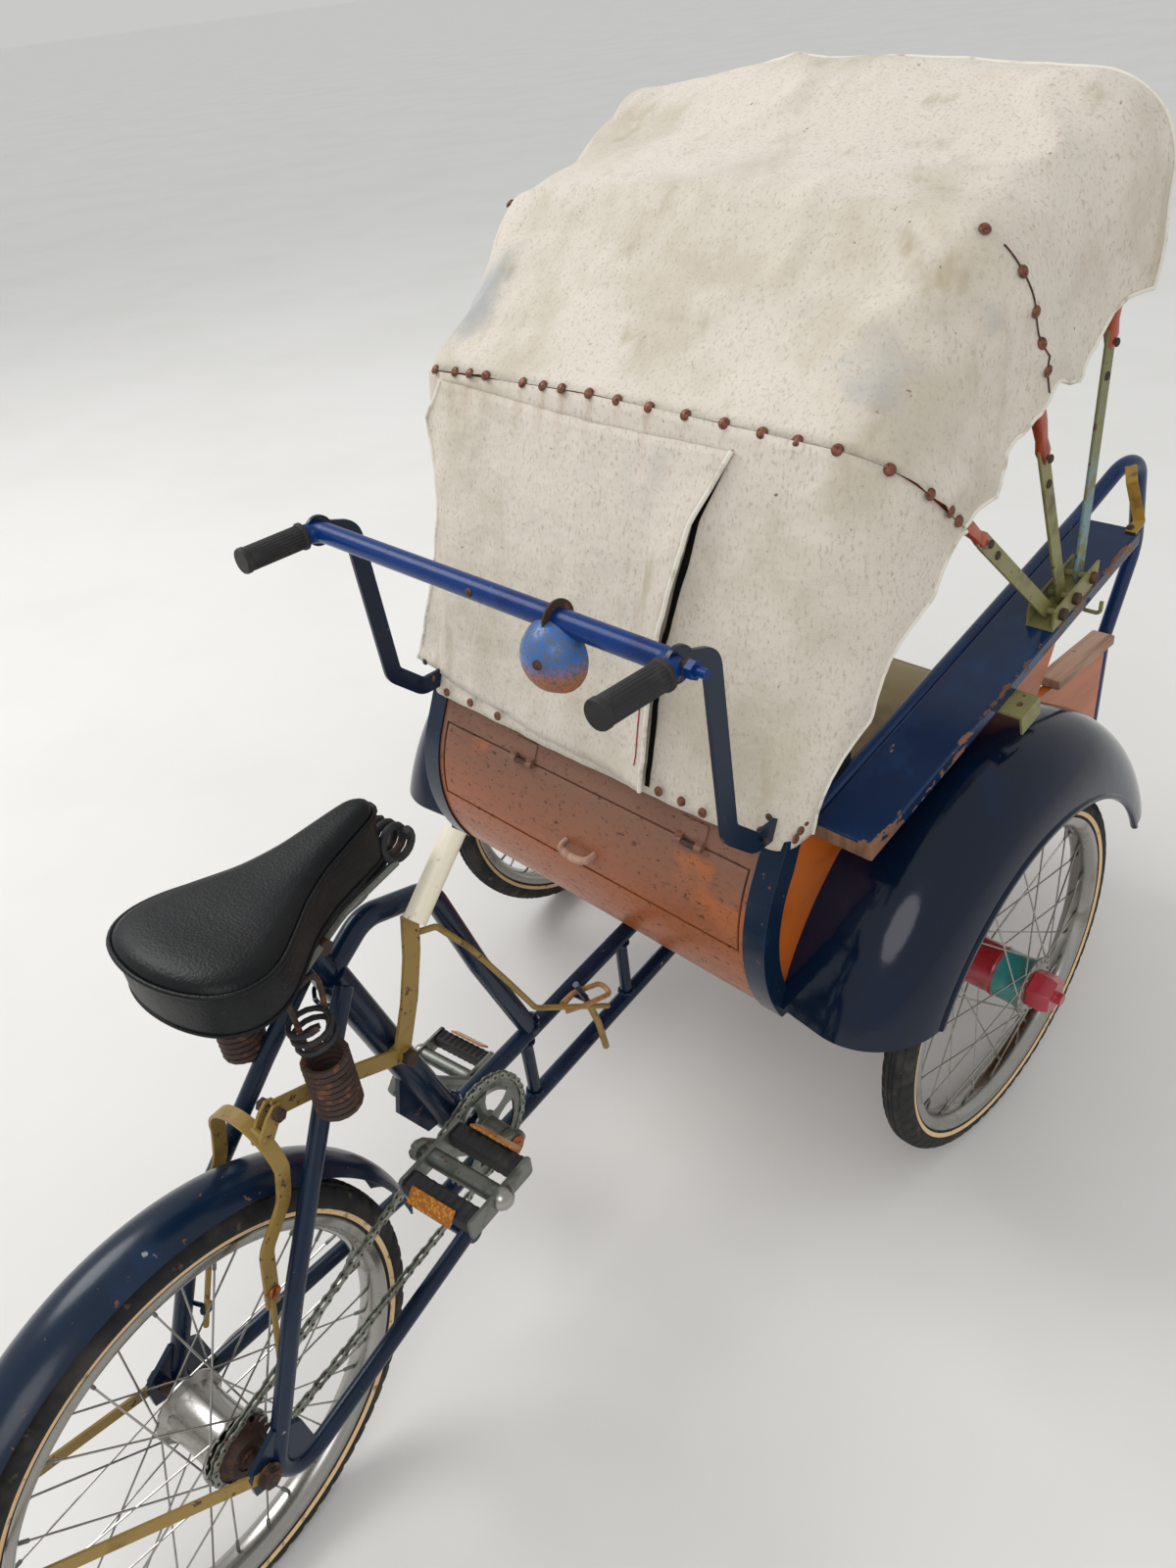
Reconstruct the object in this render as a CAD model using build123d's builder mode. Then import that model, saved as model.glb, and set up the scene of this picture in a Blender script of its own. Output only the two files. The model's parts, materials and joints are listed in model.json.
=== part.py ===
from build123d import *
import math
import os

# Cycle rickshaw with two wheels and the passenger cabin in front, and a rider's half frame behind.
# Lengths are millimetres. +X is forward, +Y left and +Z up. While the pieces are drawn, x = 0 lies at
# the front axle and z = 0 on the ground. The rear half is drawn straight in its own frame, whose
# x = 0 lies at the rear axle, and turned about the kingpin at the end. All axles are drawn at AXLE_Z, and
# the finished vehicle is lifted until its tyres stand on the ground.

# Steering
KINGPIN_X = -90
REAR_AXLE_TO_KINGPIN = 948
REST_STEER = 9.2
KINGPIN_RADIUS = 12
PIN_PLAY = 0.05
PLATE_PLAY = 1.0

# Wheels
WHEEL_RADIUS = 254
AXLE_Z = 254
TYRE_HALF_WIDTH = 20
TYRE_DEPTH = 32
RIM_FLANGE_DEEP = 8
RIM_WELL_DEEP = 6
RIM_FLANGE_RADIUS = WHEEL_RADIUS - TYRE_DEPTH
RIM_SEAT_RADIUS = RIM_FLANGE_RADIUS - RIM_FLANGE_DEEP
RIM_WELL_RADIUS = RIM_SEAT_RADIUS - RIM_WELL_DEEP
RIM_WALL = 4
RIM_HALF_WIDTH = 17.5
RIM_FLANGE = 3
SPOKES_PER_SIDE = 9
SPOKE_SIZE = 2.4
SPOKE_LEAN = 60
HALF_TRACK_BEYOND_CABIN = 111
FRONT_HUB_HALF = 46
FRONT_HUB_RADIUS = 33
FRONT_FLANGE_RADIUS = 40
REAR_HUB_HALF = 38
REAR_HUB_RADIUS = 27
REAR_FLANGE_RADIUS = 38
FLANGE_THICK = 4
HUB_CAP_LENGTH = 30
HUB_CAP_FLATS = 46

# Axles
AXLE_BEAM = 36
STUB_RADIUS = 7
REAR_AXLE_RADIUS = 5
HUB_PLAY = 1.2

# Cabin body
CABIN_HALF = 300
PANEL = 14
BOARD = 12
LOCKER_TOP_X = -300
LOCKER_TOP_Z = 600
SEAM_X = -322
SEAM_Z = 554
BULGE_X = -345
BULGE_Z = 476
LOCKER_FOOT_X = -315
CABIN_FLOOR_Z = 352
DOOR_LOW_Z = 455
DOOR_SIDE_MARGIN = 38
DOOR_HALF = CABIN_HALF - DOOR_SIDE_MARGIN
FRONT_HALF_TRACK = CABIN_HALF + HALF_TRACK_BEYOND_CABIN
DOOR_GAP = 3
LOCKER_FRONT_X = -165
SEAT_BOARD_Z = 440
SEAT_FRONT_X = 240
SEAT_LIP = 42
CUSHION_THICK = 48
FOOT_FLOOR_Z = 250
FOOT_FLOOR_THICK = 16
FOOT_FRONT_X = 505
FOOT_WALL_FRONT_X = 445
FOOT_WALL_Z = 505
TRIM = 3
TRIM_BAND = 28

# Armrests
PLANK_REAR_X = -256
PLANK_FRONT_X = 310
PLANK_REAR_Z = 600
PLANK_RISE = 0.2562
PLANK_THICK = 20
PLANK_WIDTH = 76
ARM_TUBE_RADIUS = 10

# Front fenders
FENDER_CLEARANCE = 86
FENDER_DOME = 7
FENDER_DROP = 85
FENDER_WIDTH = 160
FENDER_INNER = WHEEL_RADIUS + FENDER_CLEARANCE
FENDER_CROWN = FENDER_INNER + FENDER_DOME
FENDER_EDGE = FENDER_CROWN - FENDER_DROP
FENDER_EDGE_Y = CABIN_HALF + FENDER_WIDTH
FENDER_SHEET = 2
FENDER_CUT_Z = 370

# Crossbar
BAR_X = -432
BAR_Z = 872
BAR_INSET = 13
BAR_HALF = CABIN_HALF - BAR_INSET
BAR_RADIUS = 12.5
GRIP_RADIUS = 15
GRIP_LENGTH = 105

# Hood
HOOD_OUT = 57.5
HOOD_Y = CABIN_HALF + HOOD_OUT
PIVOT_LIFT = 14
PIVOT_RADIUS = 4
BOW_THICK = 14
BOW_WIDTH = 16
BOW_BAR_THICK = 4
BOW_BAR_WIDTH = 18
CLOTH = 2
CLOTH_OVERHANG = 45

# Rear frame
BEAM_RADIUS = 11
UPPER_BEAM_Z = 331
LOWER_BEAM_Z = 224
BRIDGE_X = 320
BRIDGE_Z = 214
BRIDGE_HALF = 60
CRANK_X = 380
CRANK_Z = 325
BRACKET_RADIUS = 20
BRACKET_HALF = 34
HEAD_RADIUS = 22
MAST_RADIUS = 17.5
ARCH_RADIUS = 12
STAY_RADIUS = 9.5
DROPOUT_Y = 75
DROPOUT_THICK = 6
GUARD_CLEARANCE = 29
GUARD_RADIUS = WHEEL_RADIUS + GUARD_CLEARANCE
GUARD_HALF = 32
GUARD_SHEET = 2

# Drive
CHAIN_PITCH = 12.7
RING_TEETH = 32
SPROCKET_TEETH = 16
CHAIN_Y = -45
CHAIN_HALF = 2.75
CHAIN_DEPTH = 6
CRANK_LENGTH = 165
CRANK_ANGLE = 135
CRANK_ARM_Y = 78
CRANK_ARM_THICK = 12
SPINDLE_RADIUS = 8
PEDAL_SPINDLE_RADIUS = 5
PEDAL_INNER_Y = 98
PEDAL_WIDTH = 92
PEDAL_LENGTH = 90

# Saddle
SADDLE_BASE_Z = 712
SADDLE_TOP_Z = 770

# Brake
LEVER_Y = -27
LEVER_THICK = 4
HANDLE_Y = -36


def rod(start, end, radius):
    """Round bar between the centres of its two ends."""
    path = Vector(*end) - Vector(*start)
    with BuildPart() as bar:
        with BuildSketch(Plane(origin=start, z_dir=path)):
            Circle(radius)
        extrude(amount=path.length)
    return bar.part


def bent_bar(points, bends, radius):
    """Round bar along straight runs joined by bends of the given radius."""
    with BuildPart() as bar:
        with BuildLine() as path:
            FilletPolyline(*points, radius=bends)
        with BuildSketch(Plane(origin=path.line @ 0, z_dir=path.line % 0)):
            Circle(radius)
        sweep()
    return bar.part


def block(x_range, y_range, z_range):
    """Rectangular block between three pairs of limits."""
    with BuildPart() as solid:
        with Locations([(sum(x_range) / 2, sum(y_range) / 2, sum(z_range) / 2)]):
            Box(x_range[1] - x_range[0], y_range[1] - y_range[0], z_range[1] - z_range[0])
    return solid.part


def side_plane(y):
    """Plane seen from the right, with its x forward and its y up."""
    return Plane.XZ.offset(-y)


def side_plate(points, y_start, y_end):
    """Plate with a straight-edged outline seen from the side."""
    with BuildPart() as plate:
        with BuildSketch(side_plane(y_start)):
            with BuildLine():
                Polyline(*points, close=True)
            make_face()
        extrude(amount=y_start - y_end)
    return plate.part


def side_strip(points, bends, deep, y_start, y_end):
    """Flat bar whose middle line is bent in the side plane."""
    with BuildPart() as bar:
        with BuildSketch(side_plane(y_start)):
            with BuildLine():
                FilletPolyline(*points, radius=bends)
            trace(line_width=deep)
        extrude(amount=y_start - y_end)
    return bar.part


def plank_top(x):
    """Height of the armrest's sloping top."""
    return PLANK_REAR_Z + (x - PLANK_REAR_X) * PLANK_RISE


# Spoked wheels, drawn about the origin with the axle along Y
def spokes(flange_radius, flange_y):
    """Crossed spokes of one wheel, each from a hub flange to the rim."""
    bars = []
    step = 360 / (4 * SPOKES_PER_SIDE)
    for turn in range(SPOKES_PER_SIDE):
        for side, lean, shift in ((1, 1, 0), (-1, 1, 1), (1, -1, 2), (-1, -1, 3)):
            rim_angle = math.radians((4 * turn + shift) * step)
            hub_angle = rim_angle - math.radians(lean * SPOKE_LEAN)
            hub_r = flange_radius - 3
            rim_r = RIM_WELL_RADIUS - RIM_WALL / 2
            start = Vector(hub_r * math.cos(hub_angle), side * flange_y, hub_r * math.sin(hub_angle))
            end = Vector(rim_r * math.cos(rim_angle), side * 3, rim_r * math.sin(rim_angle))
            with BuildPart() as bar:
                with BuildSketch(Plane(origin=start, z_dir=end - start)):
                    Rectangle(SPOKE_SIZE, SPOKE_SIZE)
                extrude(amount=(end - start).length)
            bars.append(bar.part)
    return bars


def spoked_wheel(barrel_radius, flange_radius, half_length, bore_radius):
    """Rim, hub and spokes as one piece."""
    with BuildPart() as wheel:
        with BuildSketch(Plane.XY):
            with BuildLine():
                inner = RIM_HALF_WIDTH - RIM_FLANGE
                wall = RIM_WELL_RADIUS - RIM_WALL
                Polyline(
                    (wall, -6), (wall, 6), (RIM_SEAT_RADIUS - 2, RIM_HALF_WIDTH),
                    (RIM_FLANGE_RADIUS, RIM_HALF_WIDTH), (RIM_FLANGE_RADIUS, inner),
                    (RIM_SEAT_RADIUS, inner), (RIM_WELL_RADIUS, 4), (RIM_WELL_RADIUS, -4),
                    (RIM_SEAT_RADIUS, -inner), (RIM_FLANGE_RADIUS, -inner),
                    (RIM_FLANGE_RADIUS, -RIM_HALF_WIDTH), (RIM_SEAT_RADIUS - 2, -RIM_HALF_WIDTH),
                    close=True,
                )
            make_face()
            with BuildLine():
                flange_y = half_length - FLANGE_THICK
                Polyline(
                    (bore_radius, -half_length), (flange_radius, -half_length),
                    (flange_radius, -flange_y), (barrel_radius, -flange_y),
                    (barrel_radius, flange_y), (flange_radius, flange_y),
                    (flange_radius, half_length), (bore_radius, half_length),
                    close=True,
                )
            make_face()
        revolve(axis=Axis.Y)
        add(spokes(flange_radius, half_length - FLANGE_THICK / 2))
    return wheel.part


def tyre():
    """Tyre seated in the rim, its crown made of flat bands around the wheel."""
    shoulder = WHEEL_RADIUS - 19
    inner = RIM_HALF_WIDTH - RIM_FLANGE
    with BuildPart() as ring:
        with BuildSketch(Plane.XY):
            with BuildLine():
                Polyline(
                    (RIM_SEAT_RADIUS, -inner), (RIM_FLANGE_RADIUS + 1, -RIM_HALF_WIDTH),
                    (shoulder, -TYRE_HALF_WIDTH), (WHEEL_RADIUS - 5, -TYRE_HALF_WIDTH + 6),
                    (WHEEL_RADIUS, -5), (WHEEL_RADIUS, 5), (WHEEL_RADIUS - 5, TYRE_HALF_WIDTH - 6),
                    (shoulder, TYRE_HALF_WIDTH), (RIM_FLANGE_RADIUS + 1, RIM_HALF_WIDTH),
                    (RIM_SEAT_RADIUS, inner), close=True,
                )
            make_face()
            with BuildLine():
                Polyline(
                    (RIM_SEAT_RADIUS - 1, inner), (RIM_FLANGE_RADIUS, inner),
                    (RIM_FLANGE_RADIUS, RIM_HALF_WIDTH + 1), (RIM_SEAT_RADIUS - 1, RIM_HALF_WIDTH + 1),
                    close=True,
                )
            flange_corner = make_face(mode=Mode.SUBTRACT)
            mirror(flange_corner, about=Plane.XZ, mode=Mode.SUBTRACT)
        revolve(axis=Axis.Y)
    return ring.part


front_pieces = []
rear_pieces = []


def keep(builder, label, group):
    """Name a finished sub-part and list it with the half that it belongs to."""
    builder.part.label = label
    group.append(builder.part)


front_wheel = spoked_wheel(FRONT_HUB_RADIUS, FRONT_FLANGE_RADIUS, FRONT_HUB_HALF, STUB_RADIUS + PIN_PLAY)
rear_wheel = spoked_wheel(REAR_HUB_RADIUS, REAR_FLANGE_RADIUS, REAR_HUB_HALF, REAR_AXLE_RADIUS + PIN_PLAY)
tyre_ring = tyre()

for side_name, side in (("left", 1), ("right", -1)):
    centre = Pos(0, side * FRONT_HALF_TRACK, AXLE_Z)
    with BuildPart() as wheel_piece:
        add(centre * front_wheel)
    keep(wheel_piece, f"wheel_front_{side_name}", front_pieces)
    with BuildPart() as tyre_piece:
        add(centre * tyre_ring)
    keep(tyre_piece, f"tyre_front_{side_name}", front_pieces)
    # Hexagonal cap on the hub's outer end, hollow over the end of the stub axle
    cap_y = FRONT_HALF_TRACK + FRONT_HUB_HALF
    with BuildPart() as hub_cap:
        with BuildSketch(Plane(origin=(0, side * cap_y, AXLE_Z), z_dir=(0, side, 0))):
            RegularPolygon(HUB_CAP_FLATS / 2, 6, major_radius=False)
            Circle(STUB_RADIUS + 5, mode=Mode.SUBTRACT)
        extrude(amount=HUB_CAP_LENGTH - 8)
        with BuildSketch(Plane(origin=(0, side * (cap_y + HUB_CAP_LENGTH - 8), AXLE_Z), z_dir=(0, side, 0))):
            RegularPolygon(HUB_CAP_FLATS / 2, 6, major_radius=False)
        extrude(amount=8, taper=20)
        with BuildSketch(Plane(origin=(0, side * (cap_y + HUB_CAP_LENGTH), AXLE_Z), z_dir=(0, side, 0))):
            Circle(8)
        extrude(amount=9)
    keep(hub_cap, f"hub_cap_{side_name}", front_pieces)

# Front axle beam with its two stub axles
beam_half = FRONT_HALF_TRACK - FRONT_HUB_HALF - HUB_PLAY
with BuildPart() as front_axle:
    add(block((-AXLE_BEAM / 2, AXLE_BEAM / 2), (0, beam_half),
              (AXLE_Z - AXLE_BEAM / 2, AXLE_Z + AXLE_BEAM / 2)))
    stub_end = FRONT_HALF_TRACK + FRONT_HUB_HALF + 12
    add(rod((0, beam_half, AXLE_Z), (0, stub_end, AXLE_Z), STUB_RADIUS))
    mirror(about=Plane.XZ)
keep(front_axle, "front_axle", front_pieces)

# Chassis rails: over the axle, then stepped down under the footwell
RAIL_Y = 180
RAIL_WIDTH = 30
RAIL_TOP = CABIN_FLOOR_Z
RAIL_DEPTH = 40
FOOT_RAIL_DEPTH = 25
rail_low = RAIL_TOP - RAIL_DEPTH
axle_top = AXLE_Z + AXLE_BEAM / 2
step_x = SEAT_FRONT_X - 25
rail_outline = (
    (-270, rail_low), (-270, RAIL_TOP), (step_x, RAIL_TOP), (step_x, FOOT_FLOOR_Z),
    (FOOT_FRONT_X - 5, FOOT_FLOOR_Z), (FOOT_FRONT_X - 5, FOOT_FLOOR_Z - FOOT_RAIL_DEPTH),
    (step_x - 30, FOOT_FLOOR_Z - FOOT_RAIL_DEPTH), (step_x - 30, rail_low),
    (AXLE_BEAM / 2, rail_low), (AXLE_BEAM / 2, axle_top), (-AXLE_BEAM / 2, axle_top),
    (-AXLE_BEAM / 2, rail_low),
)
with BuildPart() as chassis_rails:
    add(side_plate(rail_outline, RAIL_Y, RAIL_Y + RAIL_WIDTH))
    mirror(about=Plane.XZ)
keep(chassis_rails, "chassis_rails", front_pieces)

# Kingpin between a plate under the cabin floor and a lower plate hung from the axle beam
HEAD_LOW_Z = 197
HEAD_TOP_Z = RAIL_TOP - 5 - PLATE_PLAY
LOWER_PLATE = 8
lower_plate_top = HEAD_LOW_Z - PLATE_PLAY
axle_low = AXLE_Z - AXLE_BEAM / 2
with BuildPart() as kingpin_bracket:
    add(block((KINGPIN_X - 35, KINGPIN_X + 35), (-RAIL_Y, RAIL_Y), (HEAD_TOP_Z + PLATE_PLAY, RAIL_TOP)))
    add(block((KINGPIN_X - 30, AXLE_BEAM / 2), (-30, 30), (lower_plate_top - LOWER_PLATE, lower_plate_top)))
    add(block((-AXLE_BEAM / 2, AXLE_BEAM / 2), (-30, 30), (lower_plate_top - LOWER_PLATE, axle_low)))
    nut_z = lower_plate_top - LOWER_PLATE - 16
    add(rod((KINGPIN_X, 0, nut_z), (KINGPIN_X, 0, RAIL_TOP), KINGPIN_RADIUS))
    with BuildSketch(Plane.XY.offset(nut_z + 2)):
        with Locations([(KINGPIN_X, 0)]):
            RegularPolygon(18, 6, major_radius=False)
    extrude(amount=14)
keep(kingpin_bracket, "kingpin_bracket", front_pieces)


def circle_through(first, second, third):
    """Centre and radius of the circle through three points."""
    (x1, z1), (x2, z2), (x3, z3) = first, second, third
    d = 2 * (x1 * (z2 - z3) + x2 * (z3 - z1) + x3 * (z1 - z2))
    s1, s2, s3 = x1 * x1 + z1 * z1, x2 * x2 + z2 * z2, x3 * x3 + z3 * z3
    centre_x = (s1 * (z2 - z3) + s2 * (z3 - z1) + s3 * (z1 - z2)) / d
    centre_z = (s1 * (x3 - x2) + s2 * (x1 - x3) + s3 * (x2 - x1)) / d
    return centre_x, centre_z, math.hypot(x1 - centre_x, z1 - centre_z)


BACK_CIRCLE = circle_through((SEAM_X, SEAM_Z), (BULGE_X, BULGE_Z), (LOCKER_FOOT_X, CABIN_FLOOR_Z))


def back_point(out, z):
    """Point of the locker's round back at a height, moved out by a distance."""
    centre_x, centre_z, radius = BACK_CIRCLE
    return (centre_x - math.sqrt((radius + out) ** 2 - (z - centre_z) ** 2), z)


def back_line(out):
    """The locker's back outline moved out: its top, the seam and the round part's two other points."""
    top = (LOCKER_TOP_X - out, LOCKER_TOP_Z)
    return top, back_point(out, SEAM_Z), back_point(out, BULGE_Z), back_point(out, CABIN_FLOOR_Z)


def locker_sheet(out, thick, y_start, y_end):
    """Curved back of the locker as a sheet whose outer face stands out from the outline."""
    top, seam, bulge, foot = back_line(out)
    top_in, seam_in, bulge_in, foot_in = back_line(out - thick)
    with BuildPart() as sheet:
        with BuildSketch(side_plane(y_start)):
            with BuildLine():
                Line(top, seam)
                ThreePointArc(seam, bulge, foot)
                Line(foot, foot_in)
                ThreePointArc(foot_in, bulge_in, seam_in)
                Polyline(seam_in, top_in, top)
            make_face()
        extrude(amount=y_start - y_end)
    return sheet.part


inner_half = CABIN_HALF - PANEL
door_opening = block((-500, 0), (-DOOR_HALF - DOOR_GAP, DOOR_HALF + DOOR_GAP),
                     (DOOR_LOW_Z - DOOR_GAP, SEAM_Z + DOOR_GAP))
door_limits = block((-500, 0), (-DOOR_HALF, DOOR_HALF), (DOOR_LOW_Z, SEAM_Z))
locker_curve = locker_sheet(0, BOARD, -inner_half, inner_half)

# Two hinges, each a leaf on the shell and one on the door, with three knuckles on a common axis
HINGE_YS = (107, -179)
HINGE_HALF = 20
HINGE_RADIUS = 4
HINGE_LEAF = 2
hinge_x = SEAM_X - HINGE_RADIUS
hinge_z = SEAM_Z + DOOR_GAP / 2
knuckle_half = HINGE_HALF / 2


def hinge_leaf(hinge_y, half, z_range):
    """Piece of a hinge leaf lying on the locker's outline."""
    with BuildPart() as leaf:
        add(locker_sheet(HINGE_LEAF, HINGE_LEAF, hinge_y - half, hinge_y + half))
        add(block((-500, 0), (-500, 500), z_range), mode=Mode.INTERSECT)
    return leaf.part


with BuildPart() as locker_shell:
    add(locker_curve)
    add(door_opening, mode=Mode.SUBTRACT)
    for hinge_y in HINGE_YS:
        add(hinge_leaf(hinge_y, HINGE_HALF, (SEAM_Z + 7, SEAM_Z + 26)))
        for low, high in ((-HINGE_HALF, -knuckle_half - 0.3), (knuckle_half + 0.3, HINGE_HALF)):
            add(block((hinge_x, SEAM_X + 4), (hinge_y + low, hinge_y + high), (hinge_z, SEAM_Z + 9)))
            add(rod((hinge_x, hinge_y + low, hinge_z), (hinge_x, hinge_y + high, hinge_z), HINGE_RADIUS))
keep(locker_shell, "locker_shell", front_pieces)

# Door in the locker's back, hung at its top edge
with BuildPart() as locker_door:
    add(locker_curve)
    add(door_limits, mode=Mode.INTERSECT)
keep(locker_door, "locker_door", front_pieces)

HANDLE_X = BULGE_X - 22
with BuildPart() as door_fittings:
    for hinge_y in HINGE_YS:
        add(hinge_leaf(hinge_y, HINGE_HALF, (SEAM_Z - 26, SEAM_Z - 4)))
        add(block((hinge_x, hinge_x + HINGE_LEAF), (hinge_y - knuckle_half, hinge_y + knuckle_half),
                  (SEAM_Z - 8, hinge_z)))
        add(rod((hinge_x, hinge_y - knuckle_half, hinge_z), (hinge_x, hinge_y + knuckle_half, hinge_z),
                HINGE_RADIUS))
    add(bent_bar([(BULGE_X + 2, -34, 482), (HANDLE_X, -34, 478), (HANDLE_X, 16, 478),
                  (BULGE_X + 2, 16, 482)], 10, 3))
    add(locker_curve, mode=Mode.SUBTRACT)
keep(door_fittings, "door_fittings", front_pieces)

# Side panels of the cabin, from the locker's curved back to the front of the seat
panel_bottom_front = (SEAT_FRONT_X, CABIN_FLOOR_Z)
with BuildPart() as side_panels:
    with BuildSketch(side_plane(inner_half)):
        with BuildLine():
            top, seam, bulge, foot = back_line(0)
            Line(top, seam)
            ThreePointArc(seam, bulge, foot)
            Polyline((LOCKER_FOOT_X, CABIN_FLOOR_Z), panel_bottom_front, (SEAT_FRONT_X, FOOT_WALL_Z))
            panel_top_front = (PLANK_FRONT_X - 5, plank_top(PLANK_FRONT_X - 5) - PLANK_THICK)
            ThreePointArc((SEAT_FRONT_X, FOOT_WALL_Z), (290, 600), panel_top_front)
            Polyline(panel_top_front, (PLANK_REAR_X, PLANK_REAR_Z - PLANK_THICK),
                     (PLANK_REAR_X - 6, LOCKER_TOP_Z), (LOCKER_TOP_X, LOCKER_TOP_Z))
        make_face()
    extrude(amount=-PANEL)
    mirror(about=Plane.XZ)
keep(side_panels, "side_panels", front_pieces)

foot_floor_top = FOOT_FLOOR_Z + FOOT_FLOOR_THICK
# Blue tube along each armrest's inner edge, looped over and down in front of the footwell
tube_y = CABIN_HALF - ARM_TUBE_RADIUS
tube_x = FOOT_WALL_FRONT_X + ARM_TUBE_RADIUS
tube_rise = ARM_TUBE_RADIUS * math.hypot(1, PLANK_RISE) - PLANK_THICK + 0.1
tube_start_x = PLANK_REAR_X + 10
tube_bend_x = PLANK_FRONT_X + 22
loop_points = [
    (tube_start_x, tube_y, plank_top(tube_start_x) + tube_rise),
    (tube_bend_x, tube_y, plank_top(tube_bend_x) + tube_rise),
    (425, tube_y + 22, 808),
    (492, tube_y + 10, 640),
    (tube_x, tube_y, 500),
    (tube_x, tube_y, foot_floor_top),
]
with BuildPart() as arm_tubes:
    add(bent_bar(loop_points, [60, 42, 80, 60], ARM_TUBE_RADIUS))
    mirror(about=Plane.XZ)
keep(arm_tubes, "arm_tubes", front_pieces)

# Boards inside the cabin
with BuildPart() as cabin_boards:
    add(block((LOCKER_FOOT_X + 6, SEAT_FRONT_X), (-inner_half, inner_half),
              (CABIN_FLOOR_Z, CABIN_FLOOR_Z + BOARD)))
    add(block((LOCKER_TOP_X + 6, LOCKER_FRONT_X), (-inner_half, inner_half),
              (LOCKER_TOP_Z - BOARD, LOCKER_TOP_Z)))
    add(block((LOCKER_FRONT_X - BOARD, LOCKER_FRONT_X), (-inner_half, inner_half),
              (CABIN_FLOOR_Z + BOARD, LOCKER_TOP_Z - BOARD)))
    add(block((LOCKER_FRONT_X, SEAT_FRONT_X + SEAT_LIP - 2), (-inner_half, inner_half),
              (SEAT_BOARD_Z, SEAT_BOARD_Z + BOARD)))
    add(block((SEAT_FRONT_X, SEAT_FRONT_X + BOARD), (-inner_half, inner_half),
              (foot_floor_top, SEAT_BOARD_Z)))
    add(locker_curve, mode=Mode.SUBTRACT)
    add(arm_tubes.part, mode=Mode.SUBTRACT)
keep(cabin_boards, "cabin_boards", front_pieces)

with BuildPart() as seat_cushion:
    add(block((LOCKER_FRONT_X + 47, SEAT_FRONT_X + SEAT_LIP), (-inner_half + 2, inner_half - 2),
              (SEAT_BOARD_Z + BOARD, SEAT_BOARD_Z + BOARD + CUSHION_THICK)))
    fillet(seat_cushion.edges().filter_by(Axis.Y).group_by(Axis.Z)[-1], 14)
keep(seat_cushion, "seat_cushion", front_pieces)

BACKREST_TOP = 760
with BuildPart() as backrest:
    cushion_low = SEAT_BOARD_Z + BOARD
    add(side_plate([(LOCKER_FRONT_X, cushion_low), (LOCKER_FRONT_X + 45, cushion_low),
                    (LOCKER_FRONT_X + 15, BACKREST_TOP), (LOCKER_FRONT_X - 27, BACKREST_TOP - 8),
                    (LOCKER_FRONT_X, LOCKER_TOP_Z)], -inner_half + 16, inner_half - 16))
keep(backrest, "backrest", front_pieces)

# Navy bands along the curved edges of the locker's ends
with BuildPart() as end_trims:
    add(locker_sheet(TRIM, TRIM, DOOR_HALF + 10, CABIN_HALF))
    add(locker_sheet(TRIM, TRIM_BAND, CABIN_HALF, CABIN_HALF + TRIM))
    mirror(about=Plane.XZ)
keep(end_trims, "end_trims", front_pieces)

# Footwell: floor board, side walls and the cap boards on them
with BuildPart() as footwell_floor:
    add(block((step_x, FOOT_FRONT_X), (-inner_half, inner_half), (FOOT_FLOOR_Z, foot_floor_top)))
keep(footwell_floor, "footwell_floor", front_pieces)

with BuildPart() as footwell_walls:
    add(block((SEAT_FRONT_X, FOOT_WALL_FRONT_X), (inner_half, CABIN_HALF), (FOOT_FLOOR_Z, FOOT_WALL_Z)))
    mirror(about=Plane.XZ)
keep(footwell_walls, "footwell_walls", front_pieces)

with BuildPart() as footwell_caps:
    add(block((SEAT_FRONT_X + SEAT_LIP + 2, FOOT_WALL_FRONT_X), (inner_half - 8, CABIN_HALF + 12),
              (FOOT_WALL_Z, FOOT_WALL_Z + 15)))
    mirror(about=Plane.XZ)
keep(footwell_caps, "footwell_caps", front_pieces)

# Armrest planks with three recessed screw holes each
plank_plane = Plane(origin=(PLANK_REAR_X, CABIN_HALF, PLANK_REAR_Z), x_dir=(1, 0, PLANK_RISE),
                    z_dir=(-PLANK_RISE, 0, 1))
with BuildPart() as armrests:
    add(side_plate([(PLANK_REAR_X, PLANK_REAR_Z - PLANK_THICK), (PLANK_REAR_X, PLANK_REAR_Z),
                    (PLANK_FRONT_X, plank_top(PLANK_FRONT_X)),
                    (PLANK_FRONT_X, plank_top(PLANK_FRONT_X) - PLANK_THICK)],
                   CABIN_HALF, CABIN_HALF + PLANK_WIDTH))
    with BuildSketch(plank_plane):
        for hole_x, hole_out in ((-1, 32), (166, 32), (288, 58)):
            with Locations([((hole_x - PLANK_REAR_X) * math.hypot(1, PLANK_RISE), hole_out)]):
                Circle(6)
    extrude(amount=-5, mode=Mode.SUBTRACT)
    mirror(about=Plane.XZ)
keep(armrests, "armrests", front_pieces)

# Brass-coloured strap from the top of the loop to the plank's front outer corner
with BuildPart() as arm_straps:
    corner = Vector(PLANK_FRONT_X - 12, CABIN_HALF + PLANK_WIDTH - 8, plank_top(PLANK_FRONT_X - 12))
    with BuildLine() as strap_path:
        FilletPolyline(corner + Vector(0, 0, 1.5), corner + Vector(22, 0, 8), Vector(348, CABIN_HALF + 40, 786),
                       Vector(382, CABIN_HALF + 22, 792), radius=7)
    with BuildSketch(Plane(origin=strap_path.line @ 0, x_dir=(0, 1, 0), z_dir=strap_path.line % 0)):
        Rectangle(14, 3)
    sweep()
    add(arm_tubes.part, mode=Mode.SUBTRACT)
    add(armrests.part, mode=Mode.SUBTRACT)
    mirror(about=Plane.XZ)
keep(arm_straps, "arm_straps", front_pieces)

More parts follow.
